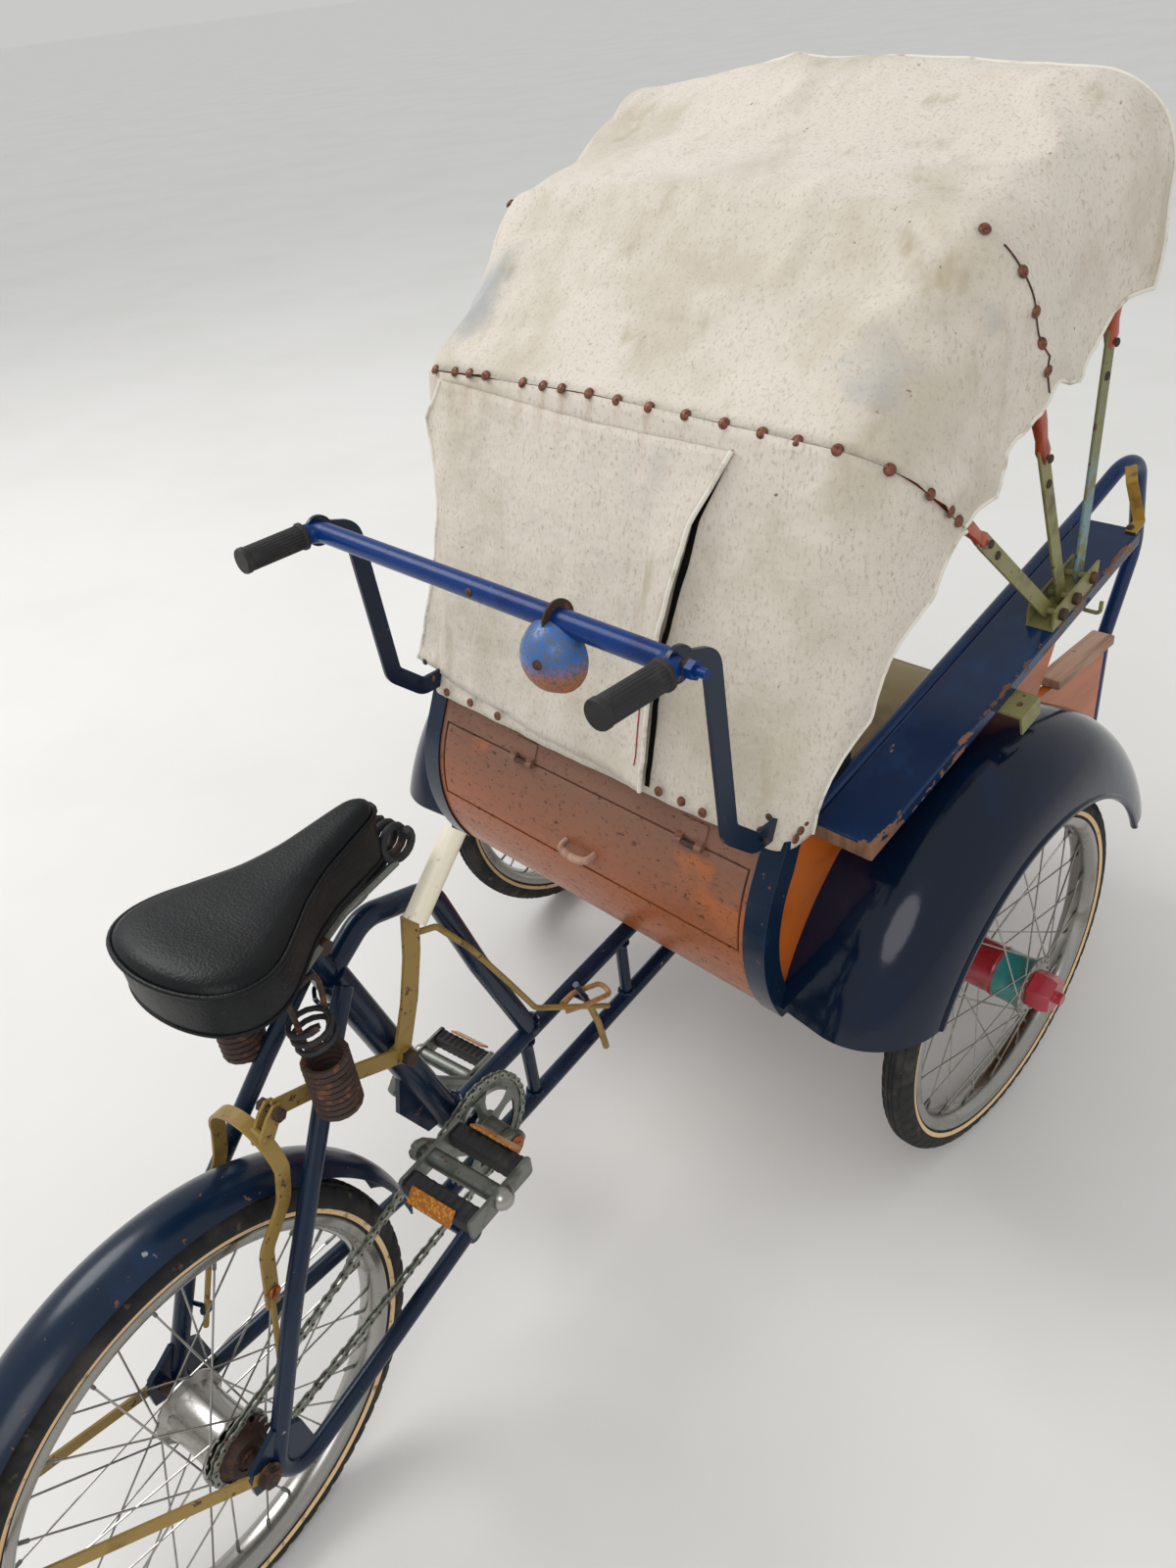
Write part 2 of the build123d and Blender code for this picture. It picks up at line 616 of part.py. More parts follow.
# Lamp bracket and small hook under each plank
LAMP_X = 10
LAMP_HOLE_RADIUS = 4
LAMP_PLATE = 3
lamp_plane = Plane(origin=(LAMP_X, 0, plank_top(LAMP_X) - PLANK_THICK), x_dir=(1, 0, PLANK_RISE),
                   z_dir=(-PLANK_RISE, 0, 1))
lamp_lip_y = CABIN_HALF + PLANK_WIDTH + 28
with BuildPart() as plank_fittings:
    with BuildSketch(lamp_plane):
        with Locations([(0, (CABIN_HALF + 40 + lamp_lip_y) / 2)]):
            Rectangle(40, lamp_lip_y - CABIN_HALF - 40)
    extrude(amount=-LAMP_PLATE)
    with BuildSketch(lamp_plane):
        with Locations([(0, lamp_lip_y - LAMP_PLATE / 2)]):
            Rectangle(40, LAMP_PLATE)
    extrude(amount=-26)
    with BuildSketch(lamp_plane):
        with Locations([(0, lamp_lip_y - 14)]):
            Circle(LAMP_HOLE_RADIUS)
    extrude(amount=-LAMP_PLATE, mode=Mode.SUBTRACT)
    hook_z = plank_top(206) - PLANK_THICK
    add(bent_bar([(206, CABIN_HALF + 60, hook_z), (206, CABIN_HALF + 60, hook_z - 22),
                  (206, CABIN_HALF + 84, hook_z - 22), (206, CABIN_HALF + 84, hook_z - 6)], 6, 2.5))
    add(armrests.part, mode=Mode.SUBTRACT)
    mirror(about=Plane.XZ)
keep(plank_fittings, "plank_fittings", front_pieces)

# Flared fenders with a rolled outer edge, revolved about the axle and cut level at both ends
fender_top = block((-600, 600), (0, 900), (FENDER_CUT_Z, 900))
for side_name, side in (("left", 1), ("right", -1)):
    with BuildPart() as fender:
        with BuildSketch(Plane.XY):
            with BuildLine():
                Line((FENDER_INNER, CABIN_HALF), (FENDER_CROWN, CABIN_HALF + 62))
                ThreePointArc((FENDER_CROWN, CABIN_HALF + 62), (FENDER_CROWN - 24, FENDER_EDGE_Y - 28),
                              (FENDER_EDGE, FENDER_EDGE_Y))
            trace(line_width=FENDER_SHEET)
            with Locations([(FENDER_EDGE, FENDER_EDGE_Y)]):
                RegularPolygon(4.5, 6)
        revolve(axis=Axis.Y)
    with BuildPart() as fender_piece:
        add(Pos(0, 0, AXLE_Z) * fender.part)
        add(fender_top, mode=Mode.INTERSECT)
        add(block((-600, 600), (0, CABIN_HALF), (0, 900)), mode=Mode.SUBTRACT)
        if side < 0:
            mirror(about=Plane.XZ, mode=Mode.REPLACE)
        add(end_trims.part, mode=Mode.SUBTRACT)
    keep(fender_piece, f"fender_{side_name}", front_pieces)

# Crossbar with its ends turned back into the grips
grip_end_x = BAR_X - GRIP_LENGTH
with BuildPart() as crossbar:
    add(bent_bar([(grip_end_x + 8, BAR_HALF, BAR_Z), (BAR_X, BAR_HALF, BAR_Z),
                  (BAR_X, -BAR_HALF, BAR_Z), (grip_end_x + 8, -BAR_HALF, BAR_Z)], 20, BAR_RADIUS))
    add(rod((BAR_X, -BAR_HALF, BAR_Z), (BAR_X, -BAR_HALF - 32, BAR_Z), 5))
    with BuildSketch(Plane(origin=(BAR_X, -BAR_HALF - 12, BAR_Z), z_dir=(0, -1, 0))):
        RegularPolygon(8.5, 6, major_radius=False)
    extrude(amount=8)
keep(crossbar, "crossbar", front_pieces)

with BuildPart() as grips:
    add(rod((grip_end_x, BAR_HALF, BAR_Z), (BAR_X - 20, BAR_HALF, BAR_Z), GRIP_RADIUS))
    mirror(about=Plane.XZ)
    add(crossbar.part, mode=Mode.SUBTRACT)
keep(grips, "grips", front_pieces)

# Flat straps that carry the crossbar, bent on edge down to the locker's top
STRAP_INSET = 12.5
STRAP_Y = CABIN_HALF - STRAP_INSET
STRAP_THICK = 5
STRAP_DEEP = 24
strap_foot_z = LOCKER_TOP_Z + STRAP_DEEP / 2
with BuildPart() as crossbar_straps:
    add(side_strip([(BAR_X, BAR_Z), (-388, 858), (-376, 650), (-335, strap_foot_z),
                    (PLANK_REAR_X - 8, strap_foot_z)], [18, 20, 18], STRAP_DEEP,
                   STRAP_Y - STRAP_THICK, STRAP_Y))
    add(rod((BAR_X, STRAP_Y - STRAP_THICK, BAR_Z), (BAR_X, STRAP_Y, BAR_Z), BAR_RADIUS + 6))
    mirror(about=Plane.XZ)
    add(crossbar.part, mode=Mode.SUBTRACT)
    add(side_panels.part, mode=Mode.SUBTRACT)
keep(crossbar_straps, "crossbar_straps", front_pieces)

# Domed bell hung under the crossbar
BELL_Y = -130
BELL_RADIUS = 28
BELL_DOME = 22
bell_top = BAR_Z - BAR_RADIUS - 6
bell_low = bell_top - 6 - BELL_DOME
bell_sphere = (BELL_RADIUS ** 2 + BELL_DOME ** 2) / (2 * BELL_DOME)
bell_turn = math.asin(BELL_RADIUS / bell_sphere) / 2
bell_mid = (bell_sphere * math.sin(bell_turn), bell_low + bell_sphere * (1 - math.cos(bell_turn)))
with BuildPart() as bell:
    with BuildSketch(Plane.XZ):
        with BuildLine():
            Polyline((0, bell_low), (0, bell_top), (BELL_RADIUS, bell_top), (BELL_RADIUS, bell_top - 6))
            ThreePointArc((BELL_RADIUS, bell_top - 6), bell_mid, (0, bell_low))
        make_face()
    revolve(axis=Axis.Z)
bell_dome = Pos(BAR_X, BELL_Y, 0) * bell.part
with BuildPart() as bell:
    add(rod((BAR_X, BELL_Y - 9, BAR_Z), (BAR_X, BELL_Y + 9, BAR_Z), BAR_RADIUS + 3))
    add(block((BAR_X - 8, BAR_X + 8), (BELL_Y - 9, BELL_Y + 9), (bell_top, BAR_Z)))
    add(rod((BAR_X, BELL_Y - 20, BAR_Z), (BAR_X, BELL_Y + 20, BAR_Z), BAR_RADIUS), mode=Mode.SUBTRACT)
    add(bell_dome)
    add(block((BAR_X, BAR_X + 42), (BELL_Y + 12, BELL_Y + 22), (bell_top - 2, bell_top + 1)))
keep(bell, "bell", front_pieces)

# Hood bows: pivot place along the plank, lean from the level rear direction, and shape
# columns: name, pivot x, lean, how far the shoulders stand in from the pivots, height of the crown,
# drop from the crown's middle to the shoulder, shoulder radius, length of steel bar
BOWS = (
    ("bow_rear", 120, 42, 15.5, 448, 26, 65, 212),
    ("bow_mid", 150, 67, 0, 495, 35, 80, 203),
    ("bow_front", 190, 90, -2, 531, 38, 75, 264),
)
CROWN_RADIUS = 1200


def pivot_point(pivot_x):
    """Centre of a bow's pivot, above the plank."""
    return (pivot_x, 0, plank_top(pivot_x) + PIVOT_LIFT)


def bow_plane(pivot_x, lean, shift=0):
    """Plane of a bow: its x to the left, its y up along the bow, its z forward."""
    angle = math.radians(lean)
    plane = Plane(origin=pivot_point(pivot_x), x_dir=(0, 1, 0), z_dir=(math.sin(angle), 0, math.cos(angle)))
    return plane.offset(shift)


def bow_line(bow, start_y, lift):
    """Middle line of a bow's wood, or of the cloth over it, from side to side."""
    name, pivot_x, lean, inset, height, drop, corner, bar_length = bow
    half_width = HOOD_Y - inset
    spread = -inset / (height - bar_length)
    low = (HOOD_Y + spread * (start_y - bar_length) + lift, start_y)
    slope = math.atan2(drop, half_width - corner / 2)
    apex = height + CROWN_RADIUS * (1 / math.cos(slope) - 1) + lift / math.cos(slope)
    side_x = half_width + lift
    shoulder = (side_x, apex - side_x * math.tan(slope))
    FilletPolyline(low, shoulder, (0, apex), (-shoulder[0], shoulder[1]), (-low[0], low[1]),
                   radius=[corner + lift, CROWN_RADIUS + lift, corner + lift])


bolt_half = 17
with BuildPart() as hood_brackets:
    cheek_low = [(x, plank_top(x)) for x in (105, 206)]
    cheek_top = [(206, plank_top(206) + 26), (105, plank_top(105) + 26)]
    channel = cheek_low + cheek_top
    add(side_plate(channel, HOOD_Y - bolt_half, HOOD_Y - bolt_half + 3))
    add(side_plate(channel, HOOD_Y + bolt_half - 3, HOOD_Y + bolt_half))
    add(side_plate(cheek_low + [(206, plank_top(206) + 3), (105, plank_top(105) + 3)],
                   HOOD_Y - bolt_half, HOOD_Y + bolt_half))
    for name, pivot_x, *rest in BOWS:
        x, y, z = pivot_point(pivot_x)
        add(rod((x, HOOD_Y - bolt_half - 4, z), (x, HOOD_Y + bolt_half + 4, z), PIVOT_RADIUS))
    mirror(about=Plane.XZ)
keep(hood_brackets, "hood_brackets", front_pieces)

for bow_row in BOWS:
    name, pivot_x, lean, *shape, bar_length = bow_row
    with BuildPart() as bow:
        with BuildSketch(bow_plane(pivot_x, lean, -BOW_BAR_WIDTH / 2)):
            with BuildLine():
                Line((HOOD_Y, 0), (HOOD_Y, bar_length + 20))
            trace(line_width=BOW_BAR_THICK)
        extrude(amount=BOW_BAR_WIDTH)
        x, y, z = pivot_point(pivot_x)
        half_bar = BOW_BAR_THICK / 2
        add(rod((x, HOOD_Y - half_bar, z), (x, HOOD_Y + half_bar, z), BOW_BAR_WIDTH / 2))
        mirror(about=Plane.XZ)
        with BuildSketch(bow_plane(pivot_x, lean, -BOW_WIDTH / 2)):
            with BuildLine():
                bow_line(bow_row, bar_length, 0)
            trace(line_width=BOW_THICK)
        extrude(amount=BOW_WIDTH)
        bolt_cut = PIVOT_RADIUS + PIN_PLAY
        add(rod((x, -HOOD_Y - 20, z), (x, -HOOD_Y + 20, z), bolt_cut), mode=Mode.SUBTRACT)
        add(rod((x, HOOD_Y - 20, z), (x, HOOD_Y + 20, z), bolt_cut), mode=Mode.SUBTRACT)
    keep(bow, name, front_pieces)

# Canvas, lofted between the bows with ruled sides
# columns: bow index, how far in front of the bow's plane, lift over the bow's line, lowest point
REAR_EDGE = (0, -BOW_WIDTH / 2 - 0.5, BOW_THICK / 2 + 3.2, 300)
MID_EDGE = (1, 0, BOW_THICK / 2 + 5, 292)
FRONT_EDGE = (2, 0, BOW_THICK / 2 + 5.5, 329)
FRONT_LIP = (2, CLOTH_OVERHANG, BOW_THICK / 2 + 5.5, 329)


def cloth_edge(edge):
    """Thin section of the cloth over one bow."""
    index, shift, lift, low = edge
    bow_row = BOWS[index]
    with BuildSketch(bow_plane(bow_row[1], bow_row[2], shift)) as section:
        with BuildLine():
            bow_line(bow_row, low, lift)
        trace(line_width=CLOTH)
    return section.sketch


with BuildPart() as canvas_rear:
    loft([cloth_edge(REAR_EDGE), cloth_edge(MID_EDGE)], ruled=True)
keep(canvas_rear, "canvas_rear", front_pieces)

with BuildPart() as canvas_front:
    loft([cloth_edge(MID_EDGE), cloth_edge(FRONT_EDGE)], ruled=True)
    loft([cloth_edge(FRONT_EDGE), cloth_edge(FRONT_LIP)], ruled=True)
keep(canvas_front, "canvas_front", front_pieces)

# Curtain from the rear bow down to the locker's top, with a wing round each side
CURTAIN_LOW_Z = 590
CURTAIN_WING_X = PLANK_REAR_X - 6
HEM_BULGE = 6
with BuildPart() as curtain:
    with BuildSketch(Plane.XY.offset(CURTAIN_LOW_Z)) as hem:
        with BuildLine():
            hem_y = CABIN_HALF + TRIM + 2.5
            hem_x = LOCKER_TOP_X - 12
            FilletPolyline((CURTAIN_WING_X, hem_y), (hem_x, hem_y), (hem_x - HEM_BULGE, 0), (hem_x, -hem_y),
                           (CURTAIN_WING_X, -hem_y), radius=[24, 4 * CROWN_RADIUS, 24])
        trace(line_width=CLOTH)
    with BuildSketch(bow_plane(BOWS[0][1], BOWS[0][2], REAR_EDGE[1])) as head:
        with BuildLine():
            bow_line(BOWS[0], BOWS[0][-1], REAR_EDGE[2])
        trace(line_width=CLOTH)
    loft([hem.sketch, head.sketch], ruled=True)
    slit = block((-345, -270), (STRAP_Y - STRAP_THICK - 3, STRAP_Y + 3), (LOCKER_TOP_Z - 4, LOCKER_TOP_Z + 40))
    add(slit, mode=Mode.SUBTRACT)
    add(mirror(slit, about=Plane.XZ, mode=Mode.PRIVATE), mode=Mode.SUBTRACT)
    add(armrests.part, mode=Mode.SUBTRACT)
    add(end_trims.part, mode=Mode.SUBTRACT)
    add(side_panels.part, mode=Mode.SUBTRACT)
keep(curtain, "curtain", front_pieces)

# Rear half: beams, braces, bridge, bottom bracket and head tube in one welded frame
with BuildPart() as main_beams:
    add(rod((CRANK_X, 0, UPPER_BEAM_Z), (REAR_AXLE_TO_KINGPIN, 0, UPPER_BEAM_Z), BEAM_RADIUS))
    add(rod((BRIDGE_X, 0, LOWER_BEAM_Z), (REAR_AXLE_TO_KINGPIN, 0, LOWER_BEAM_Z), BEAM_RADIUS))
    for brace_x in (510, 713):
        add(rod((brace_x, 0, LOWER_BEAM_Z), (brace_x, 0, UPPER_BEAM_Z), 8))
    add(rod((BRIDGE_X, -BRIDGE_HALF, BRIDGE_Z), (BRIDGE_X, BRIDGE_HALF, BRIDGE_Z), BEAM_RADIUS))
    add(rod((CRANK_X, -BRACKET_HALF, CRANK_Z), (CRANK_X, BRACKET_HALF, CRANK_Z), BRACKET_RADIUS))
    add(rod((REAR_AXLE_TO_KINGPIN, 0, HEAD_LOW_Z), (REAR_AXLE_TO_KINGPIN, 0, HEAD_TOP_Z), HEAD_RADIUS))
    add(bent_bar([(586, -26, 365), (600, -26, 330), (618, -26, 270), (626, -26, 218)], [60, 90], 4))
    add(rod((601, -2, 328), (601, -26, 328), 5))
    spindle_bore = SPINDLE_RADIUS + PIN_PLAY
    add(rod((CRANK_X, -50, CRANK_Z), (CRANK_X, 50, CRANK_Z), spindle_bore), mode=Mode.SUBTRACT)
    add(rod((REAR_AXLE_TO_KINGPIN, 0, 150), (REAR_AXLE_TO_KINGPIN, 0, 400), KINGPIN_RADIUS + PIN_PLAY),
        mode=Mode.SUBTRACT)
keep(main_beams, "main_beams", rear_pieces)

# Seat mast with the arch tube over to the upper beam, and its gusset
MAST_TOP = (276, 0, 632)
MAST_FOOT = (371, 0, 330)
with BuildPart() as seat_mast:
    add(rod(MAST_FOOT, MAST_TOP, MAST_RADIUS))
    add(bent_bar([(276, 0, 630), (330, 0, 660), (418, 0, 628), (462, 0, 490), (522, 0, UPPER_BEAM_Z)],
                 [40, 42, 60], ARCH_RADIUS))
    add(side_plate([(322, 460), (306, 400), (336, 340), (366, 334), (352, 400)], -3, 3))
    add(rod((276, 0, 630), (257, 0, SADDLE_BASE_Z - 8), 12.5))
    add(main_beams.part, mode=Mode.SUBTRACT)
    add(rod((CRANK_X, -50, CRANK_Z), (CRANK_X, 50, CRANK_Z), BRACKET_RADIUS), mode=Mode.SUBTRACT)
keep(seat_mast, "seat_mast", rear_pieces)

# One bent tube on each side is seat stay and chain stay, with the dropout plate in its bend
with BuildPart() as rear_stays:
    add(bent_bar([(272, 25, 630), (207, 42, 555), (88, 75, 405), (-3, DROPOUT_Y + 3, 212),
                  (60, DROPOUT_Y + 3, 212), (BRIDGE_X, BRIDGE_HALF - 10, BRIDGE_Z)],
                 [60, 200, 33, 60], STAY_RADIUS))
    add(side_plate([(-17, 240), (-17, 268), (22, 292), (50, 270), (56, 222), (20, 226)],
                   DROPOUT_Y, DROPOUT_Y + DROPOUT_THICK))
    add(rod((0, 60, AXLE_Z), (0, 100, AXLE_Z), REAR_AXLE_RADIUS), mode=Mode.SUBTRACT)
    mirror(about=Plane.XZ)
    add(seat_mast.part, mode=Mode.SUBTRACT)
    add(main_beams.part, mode=Mode.SUBTRACT)
keep(rear_stays, "rear_stays", rear_pieces)

with BuildPart() as rear_axle:
    add(rod((0, -DROPOUT_Y - 18, AXLE_Z), (0, DROPOUT_Y + 18, AXLE_Z), REAR_AXLE_RADIUS))
    add(rod((0, REAR_HUB_HALF + HUB_PLAY, AXLE_Z), (0, DROPOUT_Y, AXLE_Z), 7))
    add(rod((0, -REAR_HUB_HALF - 21, AXLE_Z), (0, -DROPOUT_Y, AXLE_Z), 7))
    nut_y = DROPOUT_Y + DROPOUT_THICK + 3
    for side in (1, -1):
        with BuildSketch(Plane(origin=(0, side * nut_y, AXLE_Z), z_dir=(0, side, 0))):
            RegularPolygon(9, 6, major_radius=False)
        extrude(amount=8)
keep(rear_axle, "rear_axle", rear_pieces)

centre = Pos(0, 0, AXLE_Z)
with BuildPart() as wheel_rear:
    add(centre * rear_wheel)
keep(wheel_rear, "wheel_rear", rear_pieces)

with BuildPart() as tyre_rear:
    add(centre * tyre_ring)
keep(tyre_rear, "tyre_rear", rear_pieces)


def pitch_radius(teeth):
    """Radius of a chain wheel's pitch circle."""
    return CHAIN_PITCH / (2 * math.sin(math.pi / teeth))


sprocket_r = pitch_radius(SPROCKET_TEETH)
ring_r = pitch_radius(RING_TEETH)

with BuildPart() as freewheel:
    hub_face = -REAR_HUB_HALF
    add(rod((0, hub_face, AXLE_Z), (0, hub_face - 18, AXLE_Z), 24))
    add(rod((0, CHAIN_Y - 1.2, AXLE_Z), (0, CHAIN_Y + 1.2, AXLE_Z), sprocket_r - 1))
    add(rod((0, hub_face + 1, AXLE_Z), (0, hub_face - 20, AXLE_Z), REAR_AXLE_RADIUS + PIN_PLAY),
        mode=Mode.SUBTRACT)
keep(freewheel, "freewheel", rear_pieces)


def chain_outline(grow):
    """Outline of the chain's loop, grown from the pitch line."""
    with BuildSketch(side_plane(CHAIN_Y - CHAIN_HALF)) as outline:
        with Locations([(0, AXLE_Z)]):
            Circle(sprocket_r + grow)
        with Locations([(CRANK_X, CRANK_Z)]):
            Circle(ring_r + grow)
        make_hull()
    return outline.sketch


with BuildPart() as chain:
    extrude(chain_outline(CHAIN_DEPTH - 0.5), amount=-2 * CHAIN_HALF)
    extrude(chain_outline(-0.5), amount=-2 * CHAIN_HALF, mode=Mode.SUBTRACT)
keep(chain, "chain", rear_pieces)

# Crankset: pressed chainring, spindle, and a crank with its pedal spindle on each side
crank_angle = math.radians(CRANK_ANGLE)
pedal_dx = CRANK_LENGTH * math.cos(crank_angle)
pedal_dz = CRANK_LENGTH * math.sin(crank_angle)
pedal_places = (("right", -1, pedal_dx, pedal_dz), ("left", 1, -pedal_dx, -pedal_dz))
with BuildPart() as crankset:
    with BuildSketch(side_plane(CHAIN_Y - 1.5)):
        with Locations([(CRANK_X, CRANK_Z)]):
            Circle(ring_r - 1)
            with PolarLocations(44, 5):
                Circle(13, mode=Mode.SUBTRACT)
    extrude(amount=-3)
    add(rod((CRANK_X, -CRANK_ARM_Y, CRANK_Z), (CRANK_X, CHAIN_Y + 5, CRANK_Z), 17))
    arm_outer = CRANK_ARM_Y + CRANK_ARM_THICK
    add(rod((CRANK_X, -arm_outer, CRANK_Z), (CRANK_X, arm_outer, CRANK_Z), SPINDLE_RADIUS))
    for side_name, side, dx, dz in pedal_places:
        plane = Plane(origin=(CRANK_X, side * CRANK_ARM_Y, CRANK_Z), x_dir=(1, 0, 0), z_dir=(0, side, 0))
        up = side * -1
        with BuildSketch(plane):
            Circle(17)
            with Locations([(dx, dz * up)]):
                Circle(12)
            make_hull()
        extrude(amount=CRANK_ARM_THICK)
        add(rod((CRANK_X + dx, side * arm_outer, CRANK_Z + dz),
                (CRANK_X + dx, side * (PEDAL_INNER_Y + PEDAL_WIDTH - 6), CRANK_Z + dz), PEDAL_SPINDLE_RADIUS))
keep(crankset, "crankset", rear_pieces)

for side_name, side, dx, dz in pedal_places:
    with BuildPart() as pedal:
        x = CRANK_X + dx
        z = CRANK_Z + dz
        inner_y = side * PEDAL_INNER_Y
        outer_y = side * (PEDAL_INNER_Y + PEDAL_WIDTH)
        add(rod((x, inner_y, z), (x, outer_y, z), 10))
        half_length = PEDAL_LENGTH / 2
        for plate_y in (PEDAL_INNER_Y, PEDAL_INNER_Y + PEDAL_WIDTH - 4):
            limits = sorted((side * plate_y, side * (plate_y + 4)))
            add(block((x - half_length, x + half_length), limits, (z - 12, z + 12)))
        for block_x in (-half_length, half_length - 22):
            add(block((x + block_x, x + block_x + 22), sorted((inner_y, outer_y)), (z - 11, z + 11)))
        add(rod((x, outer_y, z), (x, outer_y + side * 8, z), 8))
        add(rod((x, inner_y, z), (x, outer_y - side * 5, z), PEDAL_SPINDLE_RADIUS + PIN_PLAY),
            mode=Mode.SUBTRACT)
    keep(pedal, f"pedal_{side_name}", rear_pieces)

# Rear mudguard over the wheel and the flat stays that hold it
with BuildPart() as rear_mudguard:
    with BuildSketch(Plane.XY):
        with BuildLine():
            ThreePointArc((GUARD_RADIUS - 14, -GUARD_HALF), (GUARD_RADIUS, 0), (GUARD_RADIUS - 14, GUARD_HALF))
        trace(line_width=GUARD_SHEET)
    revolve(axis=Axis.Y, revolution_arc=-195)
guard_turned = Pos(0, 0, AXLE_Z) * Rot(0, -9, 0) * rear_mudguard.part
with BuildPart() as rear_mudguard:
    add(guard_turned)
    add(rear_stays.part, mode=Mode.SUBTRACT)
keep(rear_mudguard, "rear_mudguard", rear_pieces)

GUARD_STAY_ANGLE = 150
with BuildPart() as mudguard_stays:
    angle = math.radians(GUARD_STAY_ANGLE)
    stay_in = DROPOUT_Y + DROPOUT_THICK
    reach = GUARD_RADIUS - 12
    foot = Vector(0, stay_in + 1.5, AXLE_Z)
    head = Vector(reach * math.cos(angle), GUARD_HALF + 0.5, AXLE_Z + reach * math.sin(angle))
    with BuildSketch(Plane(origin=foot, x_dir=(math.sin(angle), 0, -math.cos(angle)), z_dir=head - foot)):
        Rectangle(13, 3)
    extrude(amount=(head - foot).length)
    add(rod((0, stay_in, AXLE_Z), (0, stay_in + 3, AXLE_Z), 10))
    mirror(about=Plane.XZ)
    add(rear_axle.part, mode=Mode.SUBTRACT)
    add(rear_stays.part, mode=Mode.SUBTRACT)
    add(rear_mudguard.part, mode=Mode.SUBTRACT)
keep(mudguard_stays, "mudguard_stays", rear_pieces)

# Saddle: wide at the rear, with a long nose and a deep skirt
with BuildPart() as saddle:
    with BuildSketch(Plane.XY.offset(SADDLE_BASE_Z)):
        with BuildLine():
            ThreePointArc((364, -17), (374, 0), (364, 17))
            Spline((364, 17), (286, 30), (228, 60), (170, 87), tangents=((-1, 0), (-1, 0.3)))
            ThreePointArc((170, 87), (121, 62), (113, 0))
            ThreePointArc((113, 0), (121, -62), (170, -87))
            Spline((170, -87), (228, -60), (286, -30), (364, -17), tangents=((1, 0.3), (1, 0)))
        make_face()
    extrude(amount=SADDLE_TOP_Z - SADDLE_BASE_Z)
    fillet(saddle.faces().sort_by(Axis.Z)[-1].edges(), 12)
keep(saddle, "saddle", rear_pieces)

# Saddle underframe: rails from the nose coil to the rear springs, and the clamp on the post
with BuildPart() as saddle_frame:
    for side in (1, -1):
        add(bent_bar([(378, side * 12, SADDLE_BASE_Z - 14), (300, side * 16, SADDLE_BASE_Z - 16),
                      (170, side * 62, SADDLE_BASE_Z - 8), (130, side * 62, SADDLE_BASE_Z - 5)], 40, 4.5))
        add(rod((378, side * 12, SADDLE_BASE_Z - 16), (378, side * 12, SADDLE_BASE_Z), 4.5))
        add(rod((210, side * 60, 566), (210, side * 60, 632), 17))
        add(rod((210, side * 60, 630), (210, side * 60, SADDLE_BASE_Z - 10), 4))
    add(rod((378, -22, SADDLE_BASE_Z - 8), (378, 22, SADDLE_BASE_Z - 8), 11))
    add(block((244, 274), (-34, 34), (SADDLE_BASE_Z - 24, SADDLE_BASE_Z - 6)))
    add(saddle.part, mode=Mode.SUBTRACT)
    add(seat_mast.part, mode=Mode.SUBTRACT)
    add(rear_stays.part, mode=Mode.SUBTRACT)
keep(saddle_frame, "saddle_frame", rear_pieces)

# Hand brake: bell-crank lever, handle, stirrup over the mudguard, and the parking latch rod
lever_outer = LEVER_Y - LEVER_THICK / 2
lever_inner = LEVER_Y + LEVER_THICK / 2
with BuildPart() as brake_lever:
    add(side_strip([(312, 499), (339, 555), (356, 604), (366, 650)], [60, 60], 22, lever_outer, lever_inner))
    add(side_strip([(320, 496), (262, 526), (207, 553), (160, 572)], [80, 80], 18, lever_outer, lever_inner))
    add(rod((314, lever_outer - 6, 500), (314, -10, 500), 9))
    add(seat_mast.part, mode=Mode.SUBTRACT)
    add(rear_stays.part, mode=Mode.SUBTRACT)
keep(brake_lever, "brake_lever", rear_pieces)

with BuildPart() as brake_handle:
    add(rod((362, HANDLE_Y, 645), (438, HANDLE_Y, 706), 12))
    add(brake_lever.part, mode=Mode.SUBTRACT)
keep(brake_handle, "brake_handle", rear_pieces)

HOOP_Y = 47
HOOP_THICK = 4
with BuildPart() as stirrup:
    for side in (1, -1):
        limits = sorted((side * HOOP_Y, side * (HOOP_Y - HOOP_THICK)))
        add(side_strip([(131, 586), (138, 535), (134, 492), (98, 452), (84, 386)], [60, 40, 30], 16,
                       limits[0], limits[1]))
        add(rod((86, side * (HOOP_Y - 1), 398), (55, side * (HOOP_Y + 12), 297), 3))
    add(block((122, 140), (-HOOP_Y, HOOP_Y), (584, 588)))
    add(block((136, 166), (lever_inner, 20), (566, 584)))
    add(brake_lever.part, mode=Mode.SUBTRACT)
    add(rear_stays.part, mode=Mode.SUBTRACT)
keep(stirrup, "stirrup", rear_pieces)

with BuildPart() as latch_rod:
    add(bent_bar([(366, -20, 618), (400, -20, 602), (438, -20, 542), (483, -20, 453), (516, -22, 384),
                  (570, -34, 345), (632, -34, 292)], [14, 40, 80, 30, 30], 3.5))
    add(brake_lever.part, mode=Mode.SUBTRACT)
    add(brake_handle.part, mode=Mode.SUBTRACT)
    add(main_beams.part, mode=Mode.SUBTRACT)
keep(latch_rod, "latch_rod", rear_pieces)

# The rear half turns about the kingpin, and the origin goes to the middle of the footprint
rear_place = Pos(KINGPIN_X, 0, 0) * Rot(0, 0, REST_STEER) * Pos(-REAR_AXLE_TO_KINGPIN, 0, 0)
placed = list(front_pieces)
for piece in rear_pieces:
    turned = rear_place * piece
    turned.label = piece.label
    placed.append(turned)
boxes = [piece.bounding_box() for piece in placed]
X_SHIFT = -(min(box.min.X for box in boxes) + max(box.max.X for box in boxes)) / 2

